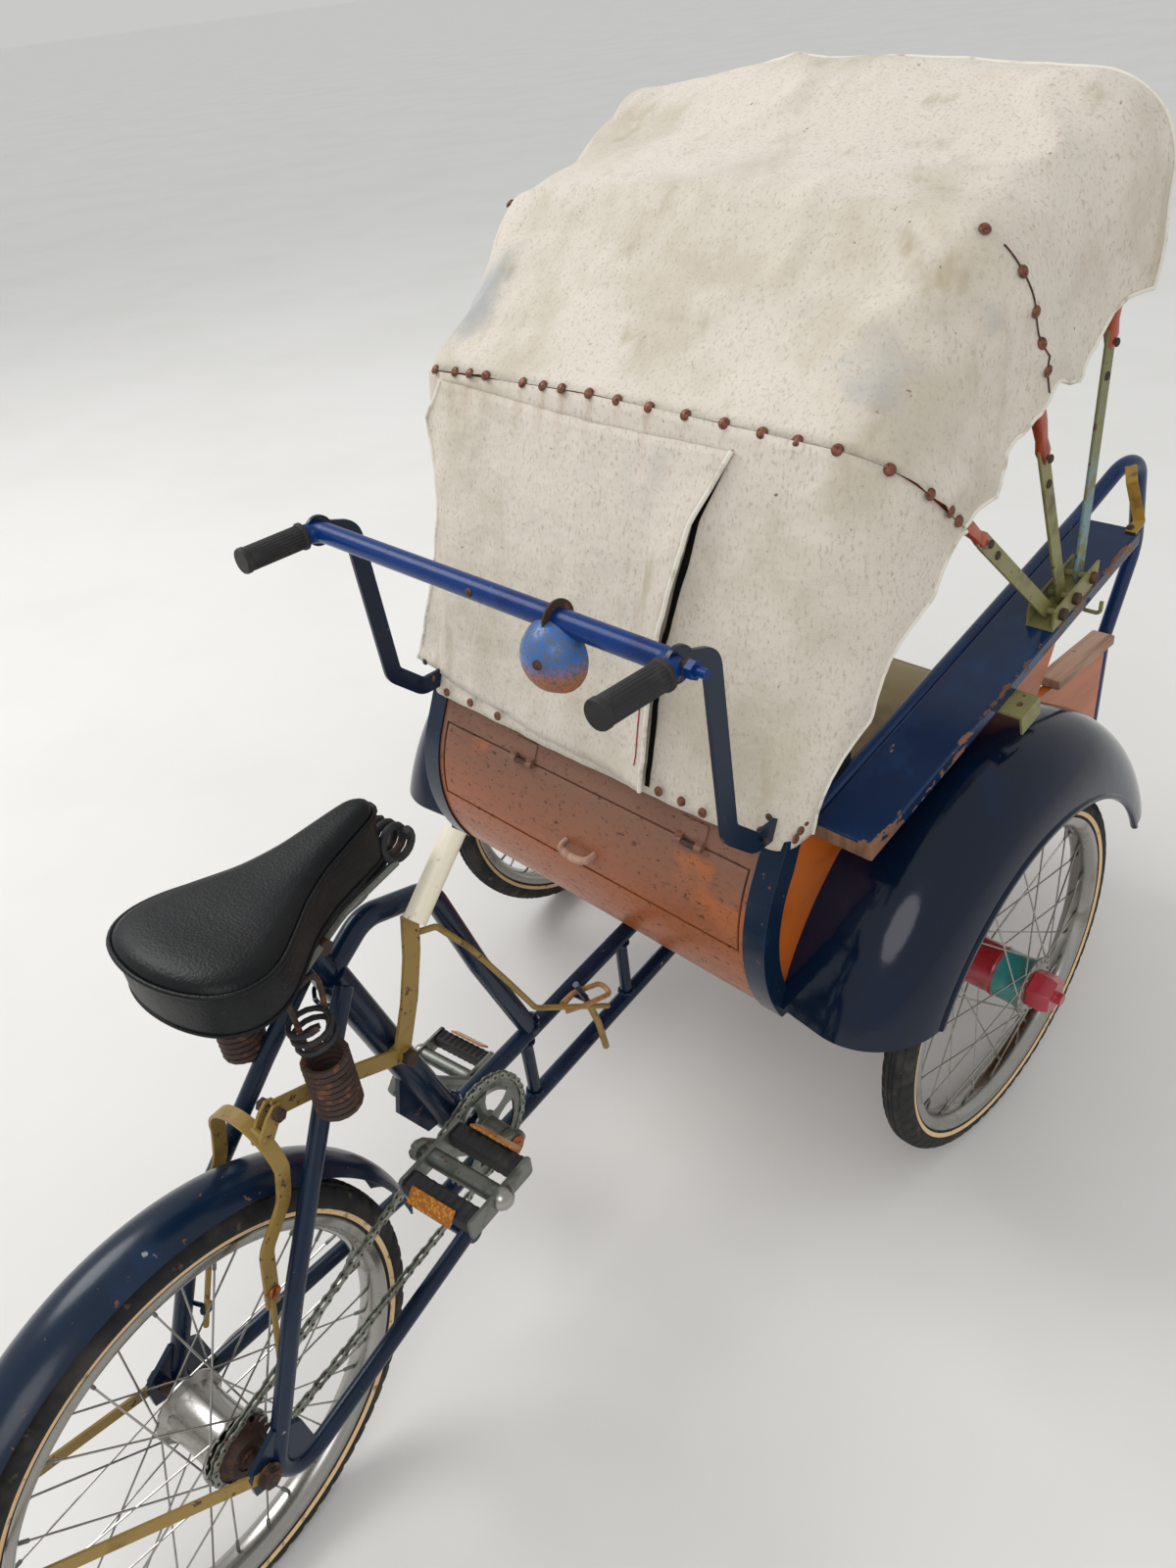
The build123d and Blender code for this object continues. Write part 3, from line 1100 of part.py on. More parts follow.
os.makedirs("parts", exist_ok=True)
for piece in placed:
    moved = Pos(X_SHIFT, 0, WHEEL_RADIUS - AXLE_Z) * piece
    moved.label = piece.label
    export_step(moved, f"parts/{piece.label}.step")
print("pieces", len(placed), "shift", round(X_SHIFT, 3))
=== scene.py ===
import json
import math

import bmesh
import bpy
from mathutils import Matrix, Vector, kdtree, noise


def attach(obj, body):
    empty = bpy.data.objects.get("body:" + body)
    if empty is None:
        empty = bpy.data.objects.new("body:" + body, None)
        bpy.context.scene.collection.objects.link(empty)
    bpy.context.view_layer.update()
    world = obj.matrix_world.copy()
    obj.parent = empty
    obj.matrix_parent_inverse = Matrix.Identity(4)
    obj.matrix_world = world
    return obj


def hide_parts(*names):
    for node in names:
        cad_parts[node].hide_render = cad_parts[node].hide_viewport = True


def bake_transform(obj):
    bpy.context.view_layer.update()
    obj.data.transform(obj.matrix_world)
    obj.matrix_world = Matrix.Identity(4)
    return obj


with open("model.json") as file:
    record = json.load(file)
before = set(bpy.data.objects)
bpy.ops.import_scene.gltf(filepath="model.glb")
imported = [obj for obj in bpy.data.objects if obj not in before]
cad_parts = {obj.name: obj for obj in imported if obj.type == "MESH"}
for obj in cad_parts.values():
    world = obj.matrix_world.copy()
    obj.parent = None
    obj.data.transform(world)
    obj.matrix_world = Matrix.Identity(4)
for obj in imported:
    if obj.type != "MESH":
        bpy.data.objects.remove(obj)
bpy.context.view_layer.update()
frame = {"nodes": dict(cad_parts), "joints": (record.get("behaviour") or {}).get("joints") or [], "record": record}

# Lengths below are millimetres in the two halves' own frames, as the part is drawn: x = 0 at the front
# axle for the cabin and at the rear axle for the rear half. These two placings bring them to metres in
# the shared frame.
joints = {joint["name"]: joint for joint in frame["joints"]}
REST_STEER = math.radians(9.2)
AXLE_TO_KINGPIN = 0.948
cabin_x = joints["front_wheel_left_spin"]["pos_m"][0]
kingpin_x = joints["steering"]["pos_m"][0]
AXLE_Z = 1000 * joints["front_wheel_left_spin"]["pos_m"][2]
CABIN = Matrix.Translation((cabin_x, 0, 0)) @ Matrix.Scale(0.001, 4)
REAR = (Matrix.Translation((kingpin_x, 0, 0)) @ Matrix.Rotation(REST_STEER, 4, "Z")
        @ Matrix.Translation((-AXLE_TO_KINGPIN, 0, 0)) @ Matrix.Scale(0.001, 4))
body_of_node = {member: body_name for body_name, members in frame["record"]["behaviour"]["bodies"].items()
                for member in members}

# Sizes shared with the part
HALF_TRACK = 411
CABIN_HALF = 300
HOOD_Y = 357.5
PLANK_RISE = 0.2562
PLANK_REAR = (-256, 600)
PLANK_FRONT = 310
PLANK_WIDTH = 76
BAR = (-432, 872)
BAR_HALF = 287
CHAIN_PITCH = 12.7
RING_TEETH = 32
SPROCKET_TEETH = 16
CHAIN_Y = -45
CRANK = (380, 325)
CRANK_LENGTH = 165
CRANK_ANGLE = math.radians(135)


def plank_top(x):
    """Height of the armrest's sloping top."""
    return PLANK_REAR[1] + (x - PLANK_REAR[0]) * PLANK_RISE


def mix(a, b, share):
    """Value or point part of the way from one to the other."""
    return a + (b - a) * share


def ease(share):
    """Smooth step from 0 to 1."""
    share = min(max(share, 0.0), 1.0)
    return share * share * (3 - 2 * share)


def along(table, value):
    """Second column of a table of rising pairs, read between its rows."""
    if value <= table[0][0]:
        return table[0][1]
    for (x0, y0), (x1, y1) in zip(table, table[1:]):
        if value <= x1:
            return y0 + (y1 - y0) * (value - x0) / (x1 - x0)
    return table[-1][1]


def polar(radius, angle):
    """Two coordinates of a point on a circle."""
    return radius * math.cos(angle), radius * math.sin(angle)


def wheel_point(radius, angle, y=0):
    """Point on a circle that stands upright along X."""
    x, z = polar(radius, angle)
    return Vector((x, y, z))


def rounded(points, bends, step=9.0):
    """Path of straight runs whose corners are arcs of the given radii."""
    points = [Vector(p) for p in points]
    if not hasattr(bends, "__len__"):
        bends = [bends] * (len(points) - 2)
    path = [points[0]]
    for before, corner, after, bend in zip(points, points[1:], points[2:], bends):
        back, ahead = (before - corner).normalized(), (after - corner).normalized()
        half = back.angle(ahead) / 2
        reach = min(bend / math.tan(half), 0.49 * (before - corner).length, 0.49 * (after - corner).length)
        bend = reach * math.tan(half)
        centre = corner + (back + ahead).normalized() * (bend / math.sin(half))
        first, last = corner + back * reach - centre, corner + ahead * reach - centre
        sweep = first.angle(last)
        count = max(2, math.ceil(math.degrees(sweep) / step))
        for i in range(count + 1):
            t = i / count
            arm = (first * math.sin((1 - t) * sweep) + last * math.sin(t * sweep)) / math.sin(sweep)
            path.append(centre + arm)
    path.append(points[-1])
    return path


def evenly(path, count):
    """Points at equal spacing along a path."""
    path = [Vector(p) for p in path]
    lengths = [0.0]
    for a, b in zip(path, path[1:]):
        lengths.append(lengths[-1] + (b - a).length)
    made, k = [], 0
    for i in range(count):
        target = lengths[-1] * i / (count - 1)
        while k < len(path) - 2 and lengths[k + 1] < target:
            k += 1
        share = (target - lengths[k]) / max(lengths[k + 1] - lengths[k], 1e-9)
        made.append(path[k].lerp(path[k + 1], share))
    return made


class Form:
    """Points and faces of one piece, each face with the number of its finish."""

    def __init__(self):
        self.points, self.faces, self.finish = [], [], []

    def skin(self, rows, finish=0, closed=False, ends=False):
        """Faces between rows of points; closed joins a row's ends, ends caps the first and last row."""
        first, wide = len(self.points), len(rows[0])
        for row in rows:
            self.points.extend(Vector(p) for p in row)
        pick = finish if callable(finish) else (lambda i, j: finish)
        for i in range(len(rows) - 1):
            for j in range(wide if closed else wide - 1):
                a, b = first + i * wide + j, first + i * wide + (j + 1) % wide
                self.faces.append((a, b, b + wide, a + wide))
                self.finish.append(pick(i, j))
        if ends:
            low, high = first, first + (len(rows) - 1) * wide
            self.faces.append(tuple(range(low + wide - 1, low - 1, -1)))
            self.faces.append(tuple(range(high, high + wide)))
            self.finish += [pick(0, 0), pick(len(rows) - 2, 0)]

    def bar(self, path, radius, finish=0, sides=14, shape=None, up=(0, 0, 1), closed=False):
        """Bar along a path: round, or with the given section of (across, up) points."""
        path = [Vector(p) for p in path]
        count = len(path)
        section = shape or [polar(1, math.tau * k / sides) for k in range(sides)]
        normal, rows = None, []
        for i, p in enumerate(path):
            if closed:
                ahead = (path[(i + 1) % count] - path[i - 1]).normalized()
            else:
                ahead = (path[min(i + 1, count - 1)] - path[max(i - 1, 0)]).normalized()
            if normal is None:
                guide = Vector(up) if abs(ahead.dot(Vector(up))) < 0.95 else Vector((1, 0, 0))
                normal = (guide - ahead * guide.dot(ahead)).normalized()
            else:
                normal = (normal - ahead * normal.dot(ahead)).normalized()
            side = ahead.cross(normal)
            size = radius[i] if hasattr(radius, "__len__") else radius
            rows.append([p + side * (a * size) + normal * (b * size) for a, b in section])
        if closed:
            rows.append(rows[0])
        self.skin(rows, finish, closed=True, ends=not closed)

    def turned(self, place, profile, finish=0, steps=32):
        """Profile of (radius, height) pairs turned about the place's Z."""
        rows = []
        for radius, height in profile:
            rows.append([place @ Vector((*polar(max(radius, 0.01), math.tau * k / steps), height))
                         for k in range(steps)])
        self.skin(rows, finish, closed=True)

    def plate(self, place, outline, low, high, finish=0):
        """Plate with the outline in the place's XY, from low to high in its Z."""
        rows = [[place @ Vector((x, y, z)) for x, y in outline] for z in (low, high)]
        self.skin(rows, finish, closed=True, ends=True)

    def dome(self, place, radius, height, finish=0, steps=12):
        """Round head on a flat place."""
        profile = [(radius, -0.3), (radius, height * 0.15)]
        for i in range(1, 5):
            angle = math.pi / 2 * i / 4
            profile.append((radius * math.cos(angle), height * (0.15 + 0.85 * math.sin(angle))))
        self.turned(place, profile, finish, steps)

    def hexagon(self, place, flats, height, finish=0):
        """Bolt head or nut with turned-down corners."""
        corner = flats / 2 / math.cos(math.pi / 6)
        self.turned(place, [(0, 0), (corner * 0.97, 0), (corner, flats * 0.04), (corner, height * 0.85),
                            (corner * 0.9, height), (0, height)], finish, 6)


def at(point, direction=(0, 0, 1)):
    """Place whose Z looks in a direction."""
    return Matrix.Translation(point) @ Vector(direction).to_track_quat("Z", "Y").to_matrix().to_4x4()


def flat_section(half_wide, half_thick):
    """Section of a flat bar."""
    return [(-half_wide, -half_thick), (half_wide, -half_thick), (half_wide, half_thick),
            (-half_wide, half_thick)]


def break_edges(piece, width):
    """Small bevel along a piece's sharp edges, its width in mm."""
    bevel = piece.modifiers.new("edges", "BEVEL")
    bevel.width = width / 1000
    bevel.segments = 2
    bevel.limit_method = "ANGLE"
    bevel.angle_limit = math.radians(40)
    return bevel


def make(name, form, half, body, finishes, stands_for=(), sharp=35, edge=0.0, thick=0.0):
    """Mesh object from a form, placed, shaded and riding on its body."""
    mesh = bpy.data.meshes.new(name)
    mesh.from_pydata([half @ p for p in form.points], [], form.faces)
    for entry in finishes:
        mesh.materials.append(MATERIALS[entry])
    mesh.polygons.foreach_set("material_index", form.finish)
    work = bmesh.new()
    work.from_mesh(mesh)
    bmesh.ops.remove_doubles(work, verts=work.verts, dist=2e-6)
    if thick == 0.0:
        bmesh.ops.recalc_face_normals(work, faces=work.faces)
    work.to_mesh(mesh)
    work.free()
    mesh.shade_smooth()
    mesh.set_sharp_from_angle(angle=math.radians(sharp))
    piece = bpy.data.objects.new(name, mesh)
    bpy.context.scene.collection.objects.link(piece)
    if thick:
        shell = piece.modifiers.new("thickness", "SOLIDIFY")
        shell.thickness = thick / 1000
        shell.offset = 0
    if edge:
        break_edges(piece, edge)
    if stands_for:
        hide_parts(*stands_for)
    if body:
        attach(piece, body)
    return piece


# How far a nail's stain reaches above it and to its sides, in mm
STAIN_ABOVE = 14
STAIN_ASIDE = 70


def stain(piece, spots, wide, tall):
    """Rust run down from each nail, kept as a point value on the cloth."""
    values = [0.0] * len(piece.data.vertices)
    placed = [CABIN @ spot for spot in spots]
    for number, vertex in enumerate(piece.data.vertices):
        p = vertex.co
        for spot in placed:
            across = math.hypot(p.x - spot.x, p.y - spot.y) * 1000
            down = (spot.z - p.z) * 1000
            if across > STAIN_ASIDE or not -STAIN_ABOVE < down < tall * 1.5:
                continue
            side = abs(p.y - spot.y) * 1000 + 0.35 * abs(p.x - spot.x) * 1000
            reach = math.exp(-(side / wide) ** 2) * (1 - max(0, down) / (tall * 1.5))
            if down < 0:
                reach *= 1 + down / STAIN_ABOVE
            values[number] = max(values[number], reach * (0.45 + 0.4 * noise.noise(spot * 30)))
    piece.data.attributes.new("stain", "FLOAT", "POINT").data.foreach_set("value", values)


def softened(node, finish, edge):
    """Copy of a CAD node with broken edges, in its place."""
    mesh = frame["nodes"][node].data.copy()
    mesh.materials.clear()
    mesh.materials.append(MATERIALS[finish])
    work = bmesh.new()
    work.from_mesh(mesh)
    bmesh.ops.remove_doubles(work, verts=work.verts, dist=1e-5)
    bmesh.ops.dissolve_limit(work, angle_limit=math.radians(1), verts=work.verts, edges=work.edges)
    bmesh.ops.recalc_face_normals(work, faces=work.faces)
    for face in work.faces:
        face.material_index = 0
    work.to_mesh(mesh)
    work.free()
    if mesh.has_custom_normals:
        mesh.attributes.remove(mesh.attributes["custom_normal"])
    mesh.shade_smooth()
    mesh.set_sharp_from_angle(angle=math.radians(32))
    piece = bpy.data.objects.new(node + "_finished", mesh)
    bpy.context.scene.collection.objects.link(piece)
    break_edges(piece, edge).harden_normals = True
    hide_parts(node)
    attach(piece, body_of_node[node])


# Materials
MATERIALS = {}


def colour(code):
    """Linear colour of an sRGB hex code."""
    values = [int(code[i:i + 2], 16) / 255 for i in (1, 3, 5)]
    return tuple(v / 12.92 if v <= 0.04045 else ((v + 0.055) / 1.055) ** 2.4 for v in values) + (1.0,)


def surface(name, code, roughness, metallic=0.0, layers=(), relief=(), coat=0.0, sheen=0.0, gleam=0.5):
    """Material of a base colour, layers over it and a relief.

    A layer is (pattern, size in mm, from, to, colour, roughness) and can end with a stretch and a
    metallic. A relief is (pattern, size in mm, height in mm) and can end with a stretch.
    """
    material = bpy.data.materials.new(name)
    material.use_nodes = True
    tree = material.node_tree
    tree.nodes.clear()

    def add(kind, settings=None, links=()):
        made = tree.nodes.new("ShaderNode" + kind)
        for key, value in (settings or {}).items():
            if hasattr(made, key):
                setattr(made, key, value)
            else:
                made.inputs[key].default_value = value
        for socket, source in links:
            tree.links.new(source, made.inputs[socket])
        return made

    place = add("TexCoord").outputs["Object"]

    def pattern(kind, size, stretch):
        if kind == "stain":
            return add("Attribute", {"attribute_name": "stain"}).outputs["Fac"]
        spread = add("Mapping", {"Scale": tuple(1000 / size / s for s in stretch)}, [("Vector", place)])
        vector = ("Vector", spread.outputs["Vector"])
        if kind == "cells":
            return add("TexVoronoi", {"Scale": 1.0}, [vector]).outputs["Distance"]
        if kind == "bands":
            return add("TexWave", {"Scale": 1.0, "Distortion": 0.6, "bands_direction": "DIAGONAL"},
                       [vector]).outputs["Fac"]
        if kind == "height":
            return add("SeparateXYZ", links=[vector]).outputs["Z"]
        detail = 8.0 if kind == "rough" else 4.0
        return add("TexNoise", {"Scale": 1.0, "Detail": detail, "Roughness": 0.62}, [vector]).outputs["Fac"]

    shade, rough, metal = None, None, None
    for kind, size, low, high, code_2, rough_2, *extra in layers:
        stretch, metal_2 = extra + [EVEN, 0][len(extra):]
        amount = add("MapRange", {"From Min": low, "From Max": high, "interpolation_type": "SMOOTHSTEP"},
                     [("Value", pattern(kind, size, stretch))]).outputs["Result"]
        blend = add("Mix", {"data_type": "RGBA"}, [(0, amount)])
        blend.inputs[6].default_value = colour(code)
        blend.inputs[7].default_value = colour(code_2)
        if shade:
            tree.links.new(shade, blend.inputs[6])
        shade = blend.outputs[2]
        gloss = add("Mix", {}, [(0, amount)])
        gloss.inputs[2].default_value = roughness
        gloss.inputs[3].default_value = rough_2
        if rough:
            tree.links.new(rough, gloss.inputs[2])
        rough = gloss.outputs[0]
        if metallic or metal_2:
            plate = add("Mix", {}, [(0, amount)])
            plate.inputs[2].default_value = metallic
            plate.inputs[3].default_value = metal_2
            if metal:
                tree.links.new(metal, plate.inputs[2])
            metal = plate.outputs[0]
    shader = add("BsdfPrincipled", {"Base Color": colour(code), "Roughness": roughness,
                                    "Metallic": metallic, "Coat Weight": coat, "Coat Roughness": 0.12,
                                    "Sheen Weight": sheen, "Specular IOR Level": gleam})
    for socket, source in (("Base Color", shade), ("Roughness", rough), ("Metallic", metal)):
        if source:
            tree.links.new(source, shader.inputs[socket])
    bump = None
    for kind, size, height, *extra in relief:
        before = [("Normal", bump)] if bump else []
        bump = add("Bump", {"Distance": height / 1000, "Strength": 1.0},
                   [("Height", pattern(kind, size, *(extra or [EVEN])))] + before).outputs["Normal"]
    if bump:
        tree.links.new(bump, shader.inputs["Normal"])
    output = add("OutputMaterial", links=[("Surface", shader.outputs["BSDF"])])
    output.is_active_output = True
    MATERIALS[name] = material


EVEN = (1, 1, 1)
GRAIN_Y = (1, 14, 1)
GRAIN_X = (14, 1, 3)
FALL = (1, 1, 9)

# Beige cotton duck: dull plain weave, darker dust clouds, small black specks and brown water stains
surface("canvas", "#D3CABC", 0.92, sheen=0.2, layers=[
    ("cloud", 210, 0.44, 0.66, "#C0B6A4", 0.95),
    ("cloud", 70, 0.56, 0.78, "#A89A80", 0.95, FALL),
    ("cloud", 3.5, 0.50, 0.74, "#B0A693", 0.95, (1, 1, 2.0)),
    ("rough", 11, 0.67, 0.73, "#746857", 0.95),
    ("cloud", 330, 0.58, 0.74, "#A3A5A4", 0.95),
    ("stain", 1, 0.05, 1.0, "#94623C", 0.95),
], relief=[("bands", 3.2, 0.12), ("cloud", 105, 10.0, (1, 1.6, 1)), ("rough", 60, 2.6)])
# White cotton piping, grey where hands touch it
surface("piping", "#DDD8CB", 0.85, layers=[("cloud", 30, 0.5, 0.7, "#B3A995", 0.9)],
        relief=[("rough", 2, 0.1)])
# Domed nails turned to copper and rust brown
surface("nail", "#7A4A38", 0.45, 0.45, layers=[("cloud", 5, 0.5, 0.62, "#4A2A1C", 0.8, EVEN, 0.1)])
# Dark navy gloss paint with rust-brown chips and pale scuffs
surface("navy", "#091D33", 0.26, gleam=0.3, coat=0.1, layers=[
    ("cloud", 120, 0.55, 0.80, "#0F2C48", 0.38),
    ("rough", 12, 0.665, 0.69, "#6B4A36", 0.75),
    ("rough", 30, 0.70, 0.73, "#8C8F92", 0.5),
], relief=[("cloud", 25, 0.2)])
# The fenders' navy: the same paint kept glossier, with hardly any chips
surface("fender", "#051428", 0.12, gleam=0.3, coat=0.1, layers=[
    ("cloud", 160, 0.5, 0.8, "#091D42", 0.2),
    ("rough", 16, 0.73, 0.75, "#7A4B30", 0.7),
], relief=[("cloud", 60, 0.5)])
# Light blue paint of the bell's lever
surface("pale blue", "#5E86B4", 0.3, layers=[("rough", 10, 0.6, 0.66, "#203250", 0.4)])
# Mid blue paint, worn through in ragged flakes to pinkish bare wood
surface("plank paint", "#0A2547", 0.16, gleam=0.3, coat=0.1, layers=[
    ("cloud", 90, 0.5, 0.78, "#123562", 0.25),
    ("rough", 20, 0.71, 0.73, "#8C7468", 0.8, (3, 1, 1)),
], relief=[("cloud", 40, 0.2, (3, 1, 1))])
# Blue tube paint with rust showing in chips
surface("tube blue", "#0D2C56", 0.24, gleam=0.35, coat=0.1, layers=[
    ("cloud", 60, 0.5, 0.75, "#0A2144", 0.3),
    ("rough", 14, 0.66, 0.68, "#6E4A38", 0.7),
], relief=[("cloud", 20, 0.2)])
# The crossbar's brighter blue with darker chips
surface("bar blue", "#07306C", 0.26, gleam=0.2, layers=[
    ("cloud", 50, 0.5, 0.75, "#082358", 0.3),
    ("rough", 12, 0.665, 0.685, "#2B2622", 0.6),
    ("rough", 16, 0.71, 0.73, "#9AA4AE", 0.5),
], relief=[("cloud", 20, 0.2)])
# Orange-brown varnished wood, grain across the cabin, dark specks, and a darker reddish-grey brown towards the top
surface("varnished wood", "#9E562A", 0.34, gleam=0.35, coat=0.1, layers=[
    ("cloud", 26, 0.42, 0.66, "#96522A", 0.38, GRAIN_Y),
    # Darker reddish-grey brown higher up, by height alone
    ("height", 1000, 0.42, 0.56, "#7B5644", 0.55),
    ("rough", 150, 0.56, 0.64, "#A05C34", 0.5, (1, 1.8, 1)),
    ("cloud", 4, 0.56, 0.68, "#6E4630", 0.6, (1, 2.5, 1)),
    ("rough", 8, 0.60, 0.67, "#4A2E20", 0.6, (1, 1.5, 1)),
], relief=[("cloud", 14, 0.15, GRAIN_Y), ("rough", 9, 0.2)])
# Brighter orange end panels, grain lengthwise
surface("orange wood", "#B45C1E", 0.3, gleam=0.35, coat=0.1, layers=[
    ("cloud", 20, 0.42, 0.66, "#9C4A18", 0.32, GRAIN_X),
    ("rough", 10, 0.69, 0.73, "#3E2012", 0.6),
], relief=[("cloud", 14, 0.12, GRAIN_X)])
# Bare pinkish wood, grey in the grain
surface("bare wood", "#B4917C", 0.85, layers=[
    ("cloud", 18, 0.4, 0.65, "#8D6C5A", 0.9, GRAIN_X),
    ("rough", 40, 0.62, 0.70, "#55504E", 0.9),
], relief=[("cloud", 10, 0.4, GRAIN_X)])
# Brown weathered wood under the planks' paint
surface("worn wood", "#7C583E", 0.8, layers=[
    ("cloud", 16, 0.4, 0.65, "#5E4130", 0.85, GRAIN_X),
    ("rough", 14, 0.64, 0.72, "#B09A88", 0.9),
], relief=[("cloud", 10, 0.4, GRAIN_X)])
# Red-orange turned wood of the hood's ribs, dark in the worn places
surface("rib wood", "#A4431F", 0.35, coat=0.4, layers=[
    ("cloud", 18, 0.45, 0.7, "#7A2D14", 0.45, FALL),
    ("rough", 12, 0.66, 0.7, "#3A1C12", 0.6),
], relief=[("cloud", 8, 0.15, FALL)])
# Olive-yellow paint on flat iron, browned and scraped
surface("olive", "#7F7B4C", 0.45, layers=[
    ("cloud", 40, 0.48, 0.72, "#5E5B3A", 0.55),
    ("rough", 12, 0.63, 0.66, "#5A3D28", 0.8),
], relief=[("rough", 12, 0.15)])
# The front bow's olive with an older light blue coat showing low down
surface("blue olive", "#72754E", 0.45, layers=[
    ("height", 1000, 0.90, 0.82, "#6F8C8E", 0.55),
    ("rough", 26, 0.50, 0.56, "#77734A", 0.55),
    ("rough", 12, 0.62, 0.65, "#5A3D28", 0.8),
], relief=[("rough", 12, 0.15)])
# Ochre paint rubbed bare to pinkish metal where it is handled
surface("rubbed ochre", "#A97C54", 0.5, layers=[
    ("cloud", 14, 0.45, 0.65, "#8A6230", 0.6),
    ("rough", 8, 0.62, 0.66, "#5A3D28", 0.8),
])
# Ochre paint worn to brown iron
surface("ochre", "#927637", 0.45, layers=[
    ("cloud", 40, 0.48, 0.72, "#745A2B", 0.55),
    ("rough", 12, 0.62, 0.65, "#4E3527", 0.8),
], relief=[("rough", 12, 0.15)])
# Dull brass
surface("brass", "#B08B3E", 0.35, 0.8, layers=[("cloud", 30, 0.5, 0.7, "#7A5A28", 0.5, EVEN, 0.6)])
# Plated rim steel, bright with dull grey haze and small rust freckles
surface("plated steel", "#A5A39E", 0.26, 1.0, layers=[
    ("cloud", 60, 0.5, 0.75, "#7F7B74", 0.4, EVEN, 0.9),
    ("rough", 10, 0.66, 0.69, "#7A5236", 0.7, EVEN, 0.2),
])
# Chain links: greenish grey steel, dulled by dry oil
surface("chain steel", "#8A8E82", 0.45, 0.5, layers=[("cloud", 12, 0.5, 0.7, "#5C5A50", 0.6, EVEN, 0.3)])
# Grey oily steel of the cranks
surface("grey steel", "#7C7F78", 0.42, 0.85, layers=[
    ("cloud", 30, 0.48, 0.7, "#54574F", 0.55, EVEN, 0.7),
    ("rough", 9, 0.64, 0.68, "#5A4232", 0.8, EVEN, 0.1),
])
# Rusty iron: brown with orange bloom
surface("rust", "#3F2E26", 0.7, 0.2, layers=[
    ("rough", 12, 0.52, 0.66, "#6E4429", 0.8),
    ("rough", 30, 0.60, 0.68, "#2C2524", 0.6, EVEN, 0.4),
], relief=[("rough", 5, 0.3)])
# Black iron under the cabin
surface("dark iron", "#26272A", 0.6, 0.3, layers=[("rough", 25, 0.55, 0.66, "#54392A", 0.85)],
        relief=[("rough", 8, 0.2)])
# Copper-coloured ring and bolt heads
surface("copper", "#A85F3C", 0.35, 0.9, layers=[("cloud", 8, 0.5, 0.7, "#6A3A24", 0.5, EVEN, 0.6)])
# Tyre rubber, grey with road dust on the tread
surface("tyre rubber", "#19191A", 0.85, layers=[
    ("rough", 50, 0.45, 0.68, "#3A3632", 0.95),
    ("cloud", 15, 0.6, 0.75, "#57503F", 0.95),
], relief=[("rough", 4, 0.15)])
# Cream line on the tyre's wall
surface("cream line", "#DDBB8C", 0.7, layers=[("rough", 14, 0.58, 0.68, "#8A765B", 0.9)])
# Black grip rubber
surface("grip rubber", "#1A1A1B", 0.6, layers=[("cloud", 20, 0.5, 0.75, "#343230", 0.75)],
        relief=[("rough", 3, 0.08)])
# Black grained leatherette with greyed creases
surface("saddle cover", "#07090C", 0.42, gleam=0.25, layers=[
    ("cloud", 60, 0.5, 0.75, "#12141A", 0.5),
    ("rough", 16, 0.68, 0.72, "#3A3734", 0.8),
], relief=[("cells", 2.6, 0.22), ("rough", 40, 0.7)])
# Cream handle plastic
surface("cream plastic", "#E4DCC4", 0.35, layers=[("rough", 20, 0.6, 0.7, "#A8926F", 0.6)])
# Enamel chipped to brown: red on the hub, teal on its outer half
for name, code, gloss, dark in (("red enamel", "#A02631", 0.28, "#7A1C26"),
                                ("teal enamel", "#2F7F7C", 0.3, "#1F5F5E")):
    surface(name, code, gloss, coat=0.4, layers=[
        ("cloud", 30, 0.5, 0.75, dark, 0.4),
        ("rough", 10, 0.66, 0.69, "#46362E", 0.8),
    ])
# Bell: blue paint above, burnt away to orange rust below
surface("bell paint", "#2C64A8", 0.3, layers=[
    ("height", 1000, 0.846, 0.822, "#A8602C", 0.6),
    ("rough", 3.5, 0.46, 0.60, "#5E5A58", 0.6),
    ("rough", 30, 0.60, 0.72, "#1C3E6C", 0.6),
], relief=[("rough", 6, 0.3)])
# Amber reflector
surface("reflector", "#C8862E", 0.25, coat=0.4, layers=[("cells", 3.5, 0.2, 0.6, "#9C5E1C", 0.3)],
        relief=[("cells", 3.5, 0.4)])
# Woven cloth with dust: khaki on the seat, dark navy on the backrest
for name, code, gloss, dust, dust_gloss in (("khaki cloth", "#8A7A52", 0.9, "#6F6242", 0.95),
                                            ("navy cloth", "#1B2435", 0.8, "#252F40", 0.9)):
    surface(name, code, gloss, sheen=0.2, layers=[("cloud", 90, 0.45, 0.7, dust, dust_gloss)],
            relief=[("bands", 3, 0.12), ("rough", 50, 0.8)])
# Near black painted shadow of the gap beside the curtain's flap, laid on the curtain as a strip
surface("painted gap shadow", "#121110", 0.95, gleam=0.1, layers=[
    ("cloud", 20, 0.5, 0.7, "#1E1B18", 0.95),
])
# Red sewing thread
surface("red thread", "#A03A34", 0.8, layers=[("cloud", 4, 0.5, 0.7, "#7A2A26", 0.85)])

# CAD nodes that keep their shape and get their material
for node_name, finish_name in (
    ("front_axle", "dark iron"), ("kingpin_bracket", "dark iron"), ("main_beams", "navy"),
    ("seat_mast", "navy"), ("rear_stays", "navy"), ("rear_axle", "rust"), ("rear_mudguard", "navy"),
    ("arm_tubes", "tube blue"), ("crossbar", "bar blue"), ("brake_handle", "cream plastic"),
):
    slots = frame["nodes"][node_name].data.materials
    slots.clear()
    slots.append(MATERIALS[finish_name])

